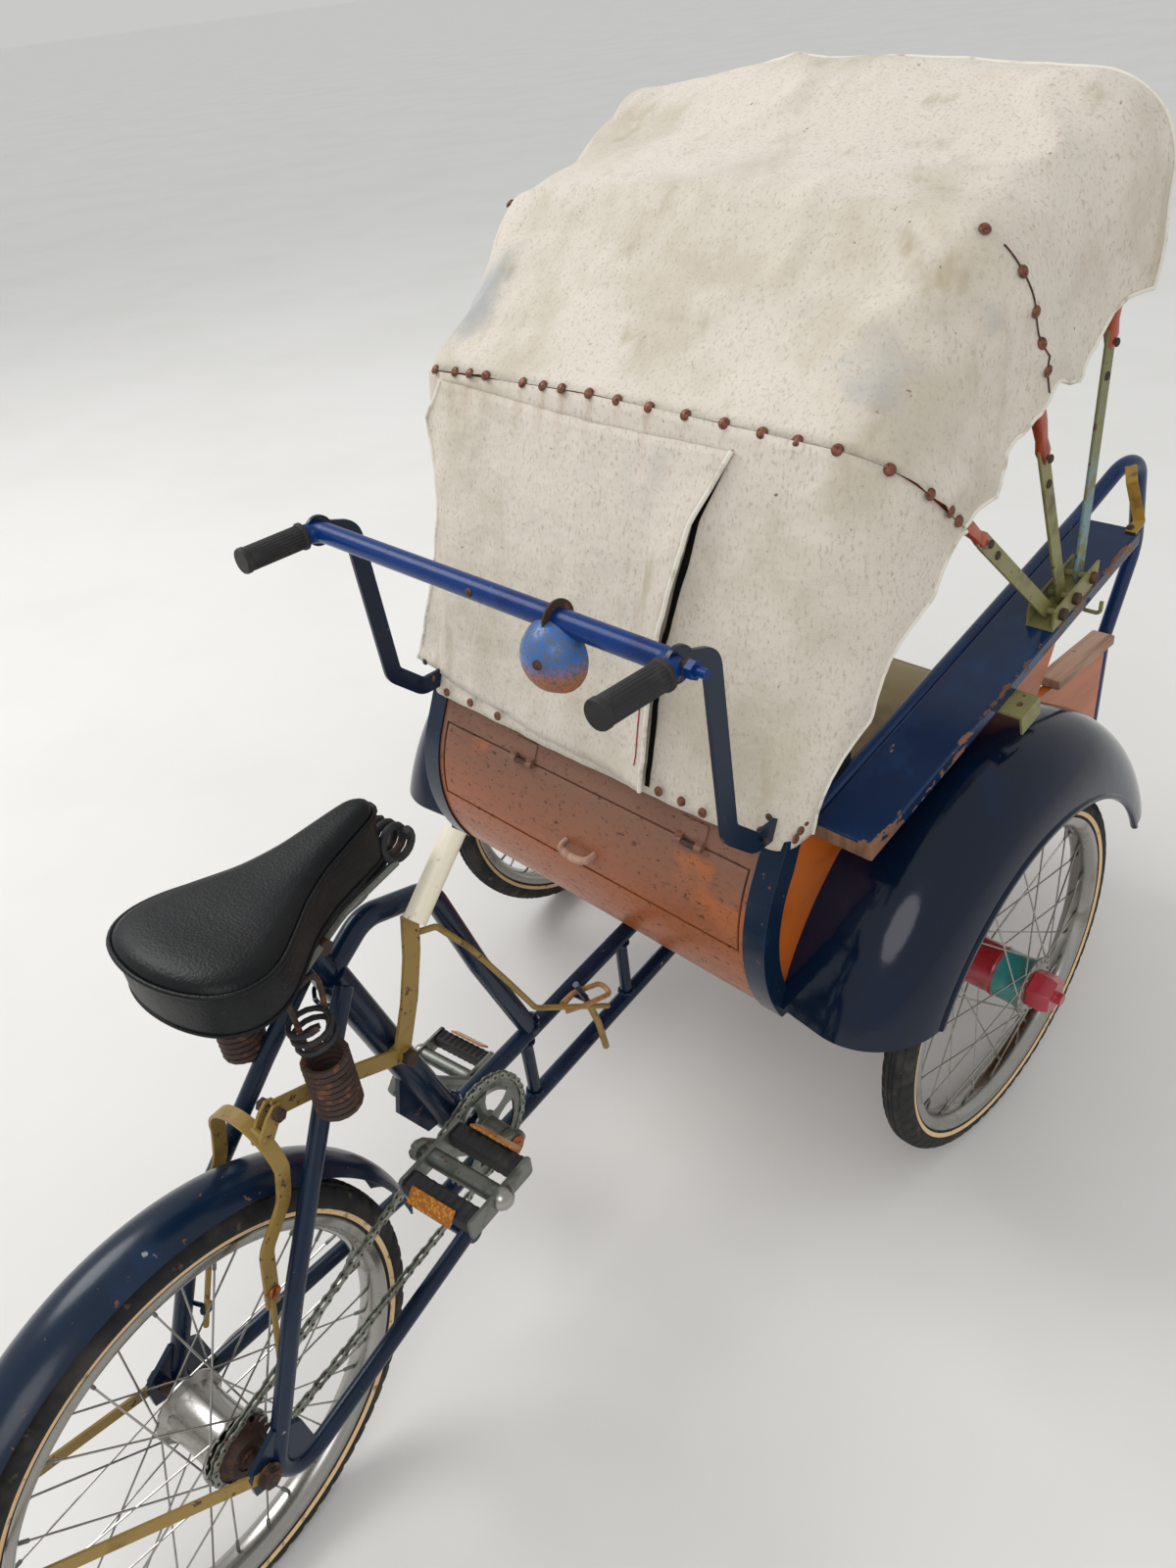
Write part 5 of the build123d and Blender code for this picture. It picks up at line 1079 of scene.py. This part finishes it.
# Curtain: hangs from the rear bow, nailed round the locker's top, its right edge scalloped
hem_half, hem_x = 305.5, -312
hem_path = rounded([(-262, hem_half, 0), (hem_x, hem_half, 0), (hem_x - 6, 0, 0), (hem_x, -hem_half, 0),
                    (-262, -hem_half, 0)], [24, 4000, 24], 6)
CURTAIN_COLUMNS = 241
hem_line = [Vector((p.x, p.y, 590)) for p in evenly(hem_path, CURTAIN_COLUMNS)]
head_line = bow_curve(BOWS[0], 278, 11.4, -9.5, CURTAIN_COLUMNS)
CURTAIN_ROWS = 46
EDGE_STEPS = 800
curtain_rows = []
for i in range(CURTAIN_ROWS + 1):
    share = i / CURTAIN_ROWS
    row = []
    for j in range(CURTAIN_COLUMNS):
        p = hem_line[j].lerp(head_line[j], share)
        across = abs(j / (CURTAIN_COLUMNS - 1) - 0.5) * 2
        fold = 0.0
        if across < 0.8:
            shift = 2 * noise.noise(Vector((p.y / 90, share * 2, 0)))
            fold = 3 * math.sin(math.pi * share) * math.sin(p.y / 34 + shift)
        belly = -9 * math.sin(math.pi * share) * ease((1 - across) * 4)
        row.append(p + Vector((0.4 * belly - 0.6 * fold, 0, 0)))
    scoop = 26 * abs(math.sin(math.pi * share * 2.5)) * (1 - share) ** 0.3
    length = sum((b - a).length for a, b in zip(row, row[1:]))
    skip = scoop / length
    path = evenly(row, EDGE_STEPS)
    curtain_rows.append(evenly(path[:EDGE_STEPS - int(EDGE_STEPS * skip)], CURTAIN_COLUMNS))
curtain_rows = wrinkled(curtain_rows, 60, 2.4, (1, 0.8, 2.0))
curtain_form = Form()
curtain_form.skin(curtain_rows)
curtain = make("back_curtain", curtain_form, CABIN, "cabin", ["canvas"], ["curtain"],
               sharp=80, thick=1.4)
stain(curtain, nail_spots, 9, 60)
edge_trim = Form()
for column in (0, -1):
    edge_trim.bar([row[column] for row in curtain_rows], 2.6, 0, 8)
make("curtain_piping", edge_trim, CABIN, "cabin", ["piping"])

# Flap over the middle of the curtain, free along its lower part and piped along its sides
# rows: share of the way down, y and z of the edge in mm
FLAP_LEFT = ((0, 281, 991), (0.12, 310, 945), (0.4, 278, 842), (0.6, 295, 771), (1, 335, 625))
FLAP_RIGHT = ((0, -184, 983), (0.2, -150, 910), (0.42, -134, 836), (0.62, -119, 756), (1, -110, 600))
curtain_map = kdtree.KDTree(len(curtain_rows) * CURTAIN_COLUMNS)
curtain_spots = [p for row in curtain_rows for p in row]
for k, p in enumerate(curtain_spots):
    curtain_map.insert((0, p.y, p.z), k)
curtain_map.balance()
FLAP_ROWS, FLAP_COLUMNS = 40, 80
flap_rows = []
for i in range(FLAP_ROWS + 1):
    t = i / FLAP_ROWS
    (ly, lz), (ry, rz) = [(along([(a, b) for a, b, c in edge], t), along([(a, c) for a, b, c in edge], t))
                          for edge in (FLAP_LEFT, FLAP_RIGHT)]
    row = []
    for j in range(FLAP_COLUMNS + 1):
        s = j / FLAP_COLUMNS
        y, z = mix(ly, ry, s), mix(lz, rz, s)
        under = [curtain_spots[found[1]].x for found in curtain_map.find_n((0, min(y, 292), z), 4)]
        lift = 4 + 3 * math.sin(math.pi * t) + 10 * ease((s - 0.86) / 0.14) * ease(t * 3)
        row.append(Vector((min(under) - lift, y, z - 6 * math.sin(math.pi * s) * t)))
    flap_rows.append(row)
flap_rows = wrinkled(flap_rows, 55, 2.2, (1, 1, 2))
flap_form = Form()
flap_form.skin(flap_rows)
flap = make("curtain_flap", flap_form, CABIN, "cabin", ["canvas"], sharp=80, thick=1.4)
stain(flap, nail_spots + [Vector((-320, 320, 800)), Vector((-320, 310, 760))], 14, 60)
flap_edging_and_shadow = Form()
for column in (0, -1):
    flap_edging_and_shadow.bar([row[column] for row in flap_rows], 2.8, 0, 8)
# Painted shadow: a dark strip on the curtain along the flap's right edge, where the photograph shows a shadowed
# gap
gap_rows = []
for k, row in enumerate(flap_rows):
    width = along(((0, 0.3), (0.1, 2), (0.35, 5), (0.6, 2.5), (0.8, 4), (1, 3)), k / FLAP_ROWS)
    inner = []
    for out in (-4, width):
        y, z = row[-1].y - out, row[-1].z
        inner.append(Vector((curtain_spots[curtain_map.find((0, y, z))[1]].x - 2.2, y, z)))
    gap_rows.append(inner)
# The dark strip is painted shadow of the gap under the flap's edge
flap_edging_and_shadow.skin(gap_rows, 2)
thread = [flap_rows[k][-3] + Vector((-1.2, 0, 0)) for k in range(30, 38)]
flap_edging_and_shadow.bar(thread, 0.9, 1, 6)
make("flap_piping_and_painted_shadow", flap_edging_and_shadow, CABIN, "cabin", ["piping", "red thread", "painted gap shadow"])

# Nails along the curtain's foot. Columns: x, y, z in mm
hem_nails = Form()
HEM_NAILS = ((-314, -132, 581), (-314, -167, 582), (-314, -198, 580), (-314, -241, 581), (-312, -279, 590),
             (-314, 150, 581), (-314, 205, 582), (-314, 255, 581), (-312, 286, 592))
for x, y, z in HEM_NAILS:
    hem_nails.dome(at((x - 5.5, y, z + 24), (-1, 0, 0.3)), 6, 3.2, 0, 12)
for k in range(4):
    for side in (1, -1):
        hem_nails.dome(at((-296 + k * 9, side * 307.5, 604 + 6 * k), (0, side, 0)), 5.5, 3, 0, 12)
make("hem_nails", hem_nails, CABIN, "cabin", ["nail"])

# Cushions of the seat and its back; the welt stands out by this much, in mm
WELT_OUT = 4.5


def cushion(name, low, high, lean, finish, node):
    """Closed pad in a box, crowned on its face, its ends drawn in, with a welt around its edge."""
    form = Form()
    low, high = Vector(low), Vector(high)
    size = high - low
    rows = []
    steps_u, steps_v = 40, 28
    for i in range(steps_v + 1):
        v = i / steps_v
        row = []
        for j in range(steps_u * 2):
            top = j < steps_u
            u = (j / (steps_u - 1)) if top else 1 - (j - steps_u) / (steps_u - 1)
            dome = (1 - abs(2 * u - 1) ** 4) * (1 - abs(2 * v - 1) ** 4)
            x = low.x + size.x * v
            y = low.y + size.y * u
            if i in (0, steps_v):
                x += (4 if i == 0 else -4) * math.sin(math.pi * u)
            wave = 1.5 * noise.noise(Vector((x / 70, y / 70, 0.5)))
            if top:
                z = low.z + size.z * (0.55 + 0.45 * dome) + wave * dome
            else:
                z = low.z + size.z * 0.02 * (1 - dome)
            row.append(Vector((x + (z - low.z) * lean, y, z)))
        rows.append(row)
    form.skin(rows, 0, closed=True, ends=True)
    mid = low.z + size.z * 0.5
    corners = [(low.x + 6, low.y + 6), (high.x - 6, low.y + 6), (high.x - 6, high.y - 6),
               (low.x + 6, high.y - 6)]
    welt = []
    for k in range(4):
        a, b = corners[k], corners[(k + 1) % 4]
        for s in range(12):
            x, y = mix(a[0], b[0], s / 12), mix(a[1], b[1], s / 12)
            if k % 2:
                x += math.copysign(WELT_OUT, x - (low.x + high.x) / 2)
            else:
                y += math.copysign(WELT_OUT, y - (low.y + high.y) / 2)
            welt.append(Vector((x + (mid - low.z) * lean, y, mid)))
    form.bar(welt, 3, 0, 8, closed=True)
    make(name, form, CABIN, "cabin", [finish], [node], sharp=50)


cushion("seat_pad", (-116, -282, 452.3), (280, 282, 499), 0.0, "khaki cloth", "seat_cushion")
cushion("back_pad", (-163, -268, 453), (-124, 268, 752), -0.1, "navy cloth", "backrest")

# Saddle: domed leatherette top with a piped rim, and a deep skirt below it
SADDLE_BASE, SADDLE_RIM, SADDLE_TOP = 714, 757, 769
SADDLE_SIDE = ((374, 0), (371, 10), (360, 17), (330, 22), (286, 30), (250, 44), (215, 66), (190, 81),
               (168, 87), (146, 83), (128, 68), (118, 44), (113, 20), (112, 0))
RING_POINTS = 96
outline = [Vector((x, y, 0)) for x, y in SADDLE_SIDE] + [Vector((x, -y, 0)) for x, y in SADDLE_SIDE[-2:0:-1]]
outline = evenly(outline + [outline[0]], RING_POINTS + 1)[:-1]
for smoothing in range(3):
    outline = [(outline[k - 1] + outline[k] * 2 + outline[(k + 1) % RING_POINTS]) / 4
               for k in range(RING_POINTS)]


def saddle_ring(keep, height, grow=0.0):
    """Ring of the saddle, drawn in towards its spine."""
    ring = []
    for p in outline:
        core = Vector((min(max(p.x, 165), 350), 0, 0))
        out = p - core
        q = core + out * keep + (out.normalized() * grow if out.length > 1 else Vector())
        on_top = height > 740
        rise = 9 * ease((q.x - 230) / 150) * on_top + 4 * ease((190 - q.x) / 90) * on_top
        ring.append(Vector((q.x, q.y, height + rise)))
    return ring


saddle = Form()
saddle.skin([saddle_ring(*ring) for ring in (
    (1.0, SADDLE_BASE, -2), (1.0, SADDLE_BASE + 10, -0.5), (1.0, SADDLE_RIM - 12), (1.0, SADDLE_RIM - 2, 0.5),
    (0.97, SADDLE_RIM + 4), (0.88, SADDLE_RIM + 9), (0.7, SADDLE_TOP - 0.5), (0.45, SADDLE_TOP + 1),
    (0.2, SADDLE_TOP + 1), (0.0, SADDLE_TOP + 1))], 0, closed=True)
saddle.bar(saddle_ring(1.0, SADDLE_RIM, 1.6), 2.6, 0, 8, closed=True)
saddle.bar(saddle_ring(1.0, SADDLE_BASE + 1, -1.5), 1.8, 0, 8, closed=True)
make("leatherette_saddle", saddle, REAR, "rear_frame", ["saddle cover"], ["saddle"],
               sharp=60)


def coil(start, end, radius, turns):
    """Points of a spring between two points."""
    start, end = Vector(start), Vector(end)
    way = (end - start).normalized()
    a = way.orthogonal().normalized()
    b = way.cross(a)
    path = []
    count = int(turns * 16)
    for k in range(count + 1):
        t = k / count
        turn = math.tau * turns * t
        path.append(start.lerp(end, t) + a * radius * math.cos(turn) + b * radius * math.sin(turn))
    return path


# Saddle springs and rails: coil under the nose, open rusted coils at the back, flat strap and tubes between
springs = Form()
springs.bar(coil((383, -17, 717), (383, 17, 717), 16.5, 3), 4.2, 2, 10)
for side in (1, -1):
    springs.bar(coil((206, side * 66, 558), (206, side * 66, 622), 20, 9), 3.2, 0, 8)
    springs.bar(coil((206, side * 66, 640), (203, side * 63, 668), 19, 2.6), 2.8, 2, 8)
    springs.turned(at((210, side * 64, 553)), [(0, 0), (17, 0), (17, 3), (0, 3)], 0, 20)
    springs.bar([(210, side * 60, 548), (210, side * 60, 560)], 4, 0, 10)
    loop, rail, strap = (rounded([(x, side * y, z) for x, y, z in corners], bends, step)
                         for corners, bends, step in (
        (((196, 60, 634), (192, 60, 700), (228, 60, 704), (224, 60, 634)), [12, 12], 20),
        (((376, 13, 700), (300, 16, 694), (214, 50, 700), (136, 58, 712)), [60, 50], 12),
        (((366, 5, 706), (330, 8, 690), (262, 12, 690), (150, 50, 709)), [30, 60], 12)))
    springs.bar(loop, 2.8, 0, 8)
    springs.bar(rail, 4.2, 1, 10)
    springs.bar(strap, 1, 2, shape=flat_section(7, 1.2))
springs.turned(at((259, 0, 688), (-0.3, 0, 1)),
               [(0, -8), (19, -8), (20, -6), (20, 10), (18, 12), (0, 12)], 2, 28)
springs.bar([(259, -34, 694), (259, 34, 694)], 6, 2, 14)
for side in (1, -1):
    springs.hexagon(at((259, side * 30, 694), (0, side, 0)), 15, 8, 0)
make("saddle_springs", springs, REAR, "rear_frame", ["rust", "grey steel", "dark iron"],
     ["saddle_frame"])

# Brake stirrup: one flat bar arched over the mudguard, with eye plates and a clevis on the lever's end
hoop = Form()
side_path = [(84, 386), (98, 452), (132, 488), (141, 522)]
ARCH_HALF = 45.5
crown = [(141, -ARCH_HALF * math.cos(math.pi * k / 12), 522 + 43 * math.sin(math.pi * k / 12))
         for k in range(1, 12)]
arch = [(x, -ARCH_HALF, z) for x, z in side_path] + crown + [(x, ARCH_HALF, z) for x, z in side_path[::-1]]
hoop.bar(rounded(arch, [30, 40, 20] + [12] * 11 + [20, 40, 30], 4), 1, 0, up=(0, 1, 0),
         shape=[(-8, -1.2), (-7.4, -1.8), (7.4, -1.8), (8, -1.2), (8, 1.2), (7.4, 1.8), (-7.4, 1.8),
                (-8, 1.2)])
for side in (1, -1):
    hoop.bar([(86, side * 46, 398), (70, side * 53, 346), (55, side * 59, 297)], 3, 0, 10)
    hoop.dome(at((89, side * 48, 402), (0, side, 0)), 7, 3.5, 1)
for y in (-22.5, -33.5):
    place = Matrix.Translation((0, y, 0)) @ Matrix.Rotation(math.pi / 2, 4, "X")
    hoop.plate(place, [(134, 548), (137, 559), (150, 574), (160, 581), (168, 578), (169, 570), (160, 560),
                       (150, 548), (142, 543)], -1.6, 1.6)
hoop.bar([(160, -38, 573), (160, -18, 573)], 4, 2, 12)
hoop.hexagon(at((160, -37, 573), (0, -1, 0)), 12, 6, 2)
hoop.hexagon(at((160, -20, 573), (0, 1, 0)), 12, 6, 2)
hoop.bar([(142, -36, 553), (142, -19, 561)], 4.5, 0, 10)
make("brake_stirrup", hoop, REAR, "rear_frame", ["ochre", "copper", "rust"], ["stirrup"],
     edge=0.3)

# Hairpin of the latch rod, worn bare, round the pin on the upper beam
hairpin = Form()
hairpin.bar(rounded([(556, -33, 349), (586, -37, 335), (634, -39, 315), (640, -20, 319), (590, -15, 341),
                     (566, -17, 345)], [20, 8, 8, 20], 12), 3.4, 0, 10)
make("latch_hairpin", hairpin, REAR, "rear_frame", ["rubbed ochre"])

# Crossbar fittings: ribbed grips, and the bell with its lever
grips = Form()
for side in (1, -1):
    rows = []
    for x, r in ((-537, 12.5), (-537, 14.5), (-535, 15.5), (-530, 15.5), (-528, 14), (-526, 14.6),
                 (-458, 14.6), (-456, 16.5), (-453, 16.5), (-452, 13)):
        ring = []
        for k in range(72):
            ribbed = 0.7 * (k % 3 == 0) if -527 < x < -457 else 0
            dy, dz = polar(r - ribbed, math.tau * k / 72)
            ring.append(Vector((x, side * BAR_HALF + dy, BAR[1] + dz)))
        rows.append(ring)
    grips.skin(rows, 0, closed=True, ends=True)
make("ribbed_grips", grips, CABIN, "cabin", ["grip rubber"], ["grips"], sharp=30)

bell = Form()
bell_place = at((BAR[0] - 14, -133, 839), (-0.93, -0.22, 0.16)) @ Matrix.Scale(1.36, 4)
bell.turned(bell_place, [(0, 21), (6, 20.6), (13, 18.2), (20, 13.6), (25, 7.4), (27.6, 1), (28, 0),
                         (28.6, -1), (28.2, -2.5), (26, -3), (25.5, -6), (0, -6.4)], 0, 40)
bell.turned(bell_place, [(0, 22.6), (3.5, 22.2), (4, 20.6), (0, 20)], 1, 16)
bell.bar([(BAR[0] - 9, -130, 848), (BAR[0], -130, 862)], 6, 1, 16)
clip = []
for k in range(25):
    dx, dz = polar(14, math.radians(-90 + 15 * k))
    clip.append(Vector((BAR[0] + dx, -130, BAR[1] + dz)))
bell.bar(clip, 1, 1, shape=flat_section(7, 1.2), up=(0, 1, 0))
lever = rounded([(BAR[0] + 4, -120, 855), (BAR[0] + 24, -112, 856), (BAR[0] + 40, -108, 851)], 12, 15)
bell.bar(lever, 1, 2, shape=flat_section(4.5, 1))
make("round_bell", bell, CABIN, "cabin", ["bell paint", "rust", "pale blue"], ["bell"],
     edge=0.2)

# Door fittings: thin hinge knuckles on the seam and a bail handle rubbed bare
fittings = Form()
for hinge_y in (107, -179):
    fittings.bar([(-326, hinge_y - 9.8, 554.5), (-326, hinge_y + 9.8, 554.5)], 3.4, 0, 16)
bail = rounded([(-338, -34, 482), (-359, -34, 478), (-360, -9, 474), (-359, 16, 478), (-338, 16, 482)],
               [12, 40, 12], 12)
fittings.bar(bail, [4.2 + 1.2 * math.sin(math.pi * k / (len(bail) - 1)) for k in range(len(bail))], 1, 12)
for y in (-34, 16):
    fittings.turned(at((-338.5, y, 481), (-1, 0, -0.12)), [(0, 8), (1.5, 8), (2.6, 6.5), (3, 0)], 1, 20)
make("thin_door_fittings", fittings, CABIN, "locker_door", ["rust", "bare wood"],
     ["door_fittings"])

# Bolts and small fittings that stay with the cabin
fixings = Form()
for side in (1, -1):
    slope = Vector((-PLANK_RISE, 0, 1)).normalized()
    for hole_x, hole_out in ((-1, 32), (166, 32), (288, 58)):
        spot = Vector((hole_x, side * (CABIN_HALF + hole_out), plank_top(hole_x)))
        fixings.turned(at(spot - slope * 4.8, slope),
                       [(0, 0), (5.6, 0), (5.6, 0.8), (3.4, 1.0), (3.2, 2.4), (0, 2.8)], 0, 16)
    fixings.dome(at((305, side * (CABIN_HALF + 64), plank_top(305) + 3), slope), 5, 3, 0)
    fixings.hexagon(at((BAR[0], side * (BAR_HALF + 6), BAR[1]), (0, side, 0)), 16, 6, 0)
    for z in (612, 640):
        fixings.dome(at((-325 + (z - 612) * 0.2, side * 292, z), (-1, 0, 0)), 4.5, 3, 0)
fixings.dome(at((BAR[0] - 12.3, -10, BAR[1] + 2), (-1, 0, 0.1)), 5, 2.5, 0)
make("cabin_bolts", fixings, CABIN, "cabin", ["rust"])

# Small parts of the rear frame: a guide eye on each side, weld beads, a bolt head, axle washers and the
# ochre sleeve on the latch pin
small = Form()
EYE_X, EYE_Z = 62.5, 321.5
for side in (1, -1):
    ring = []
    for k in range(16):
        dx, dz = polar(6, math.tau * k / 16)
        ring.append((EYE_X + dx, side * 56, EYE_Z + dz))
    small.bar(ring, 2, 0, 8, closed=True)
    small.bar([(EYE_X - 1, side * 63, EYE_Z), (EYE_X - 3, side * 74, EYE_Z - 3)], 2.6, 0, 8)
for centre, way, radius in (((371, 0, 345), (-0.3, 0, 1), 19), ((522, 0, 342), (-0.35, 0, 1), 13.5),
                            ((930, 0, 331), (1, 0, 0), 12.6), ((930, 0, 224), (1, 0, 0), 12.6),
                            ((510, 0, 321), (0, 0, 1), 9.6), ((510, 0, 234), (0, 0, 1), 9.6),
                            ((713, 0, 321), (0, 0, 1), 9.6), ((713, 0, 234), (0, 0, 1), 9.6),
                            ((276, 0, 612), (-0.3, 0, 1), 19)):
    place = at(centre, way)
    bead = [place @ Vector((*polar(radius, a), 0.8 * math.sin(9 * a)))
            for a in (math.tau * k / 48 for k in range(48))]
    small.bar(bead, 2.4, 0, 6, closed=True)
small.hexagon(at((314, -34, 500), (0, -1, 0)), 17, 8, 1)
for side in (1, -1):
    small.turned(at((0, side * 84, AXLE_Z), (0, side, 0)), [(0, 0), (13, 0), (13, 2), (0, 2)], 1, 24)
small.bar(rounded([(603, -26, 321), (618, -26, 270), (626, -26, 219)], [90], 8), 4.5, 2, 12)
make("frame_details", small, REAR, "rear_frame", ["navy", "rust", "ochre"])

# Floor, light and camera
floor_mesh = bpy.data.meshes.new("floor")
FAR = 400
floor_mesh.from_pydata([(-FAR, -FAR, 0), (FAR, -FAR, 0), (FAR, FAR, 0), (-FAR, FAR, 0)], [], [(0, 1, 2, 3)])
floor = bpy.data.objects.new("floor", floor_mesh)
bpy.context.scene.collection.objects.link(floor)
surface("pale floor", "#E0DEDA", 0.9, layers=[("cloud", 900, 0.4, 0.7, "#DCDAD5", 0.9)])
floor_mesh.materials.append(MATERIALS["pale floor"])

world = bpy.data.worlds.new("soft sky")
bpy.context.scene.world = world
world.use_nodes = True
sky_tree = world.node_tree
sky = sky_tree.nodes["Background"]
sky.inputs["Color"].default_value = colour("#F2F4F6")
sky.inputs["Strength"].default_value = 0.85
# What the camera, a reflection or a clear piece shows of the sky is close to the far floor's colour,
# so the horizon is faint
far = sky_tree.nodes.new("ShaderNodeBackground")
far.inputs["Color"].default_value = colour("#C9C9C8")
ray = sky_tree.nodes.new("ShaderNodeLightPath")
seen = ray.outputs["Is Camera Ray"]
for ray_kind in ("Is Glossy Ray", "Is Transmission Ray"):
    total = sky_tree.nodes.new("ShaderNodeMath")
    total.operation = "ADD"
    total.use_clamp = True
    sky_tree.links.new(seen, total.inputs[0])
    sky_tree.links.new(ray.outputs[ray_kind], total.inputs[1])
    seen = total.outputs[0]
choice = sky_tree.nodes.new("ShaderNodeMixShader")
for source, socket in ((seen, 0), (sky.outputs[0], 1), (far.outputs[0], 2)):
    sky_tree.links.new(source, choice.inputs[socket])
sky_tree.links.new(choice.outputs[0], sky_tree.nodes["World Output"].inputs["Surface"])


def lamp(name, place, aim, size, power):
    """Large soft light aimed at a point."""
    light = bpy.data.lights.new(name, "AREA")
    light.shape = "DISK"
    light.size = size
    light.energy = power
    obj = bpy.data.objects.new(name, light)
    obj.location = place
    obj.rotation_euler = (Vector(aim) - Vector(place)).to_track_quat("-Z", "Y").to_euler()
    bpy.context.scene.collection.objects.link(obj)


lamp("sky_left", (-1.0, 3.5, 4.5), (0, 0, 0.6), 3.0, 130)
lamp("sky_rear", (-3.5, -2.5, 4.0), (0, 0, 0.5), 3.0, 60)

# The photograph's camera: its focal length and height in the photograph's pixels
PHOTO_FOCAL = 1211.13
PHOTO_HEIGHT = 1600
camera_data = bpy.data.cameras.new("camera")
camera_data.sensor_width = 36
camera_data.lens = 36 * PHOTO_FOCAL / PHOTO_HEIGHT
camera_data.clip_start = 0.05
camera = bpy.data.objects.new("camera", camera_data)
ahead = Vector((0.536, 0.628, -0.564)).normalized()
right = ahead.cross(Vector((0.461, 0.341, 0.819))).normalized()
up = right.cross(ahead)
camera.matrix_world = Matrix.Translation((-0.698, -0.924, 1.385)) @ Matrix(
    ((right.x, up.x, -ahead.x), (right.y, up.y, -ahead.y), (right.z, up.z, -ahead.z))).to_4x4()
bpy.context.scene.collection.objects.link(camera)
bpy.context.scene.camera = camera
bpy.context.scene.view_settings.view_transform = "Standard"
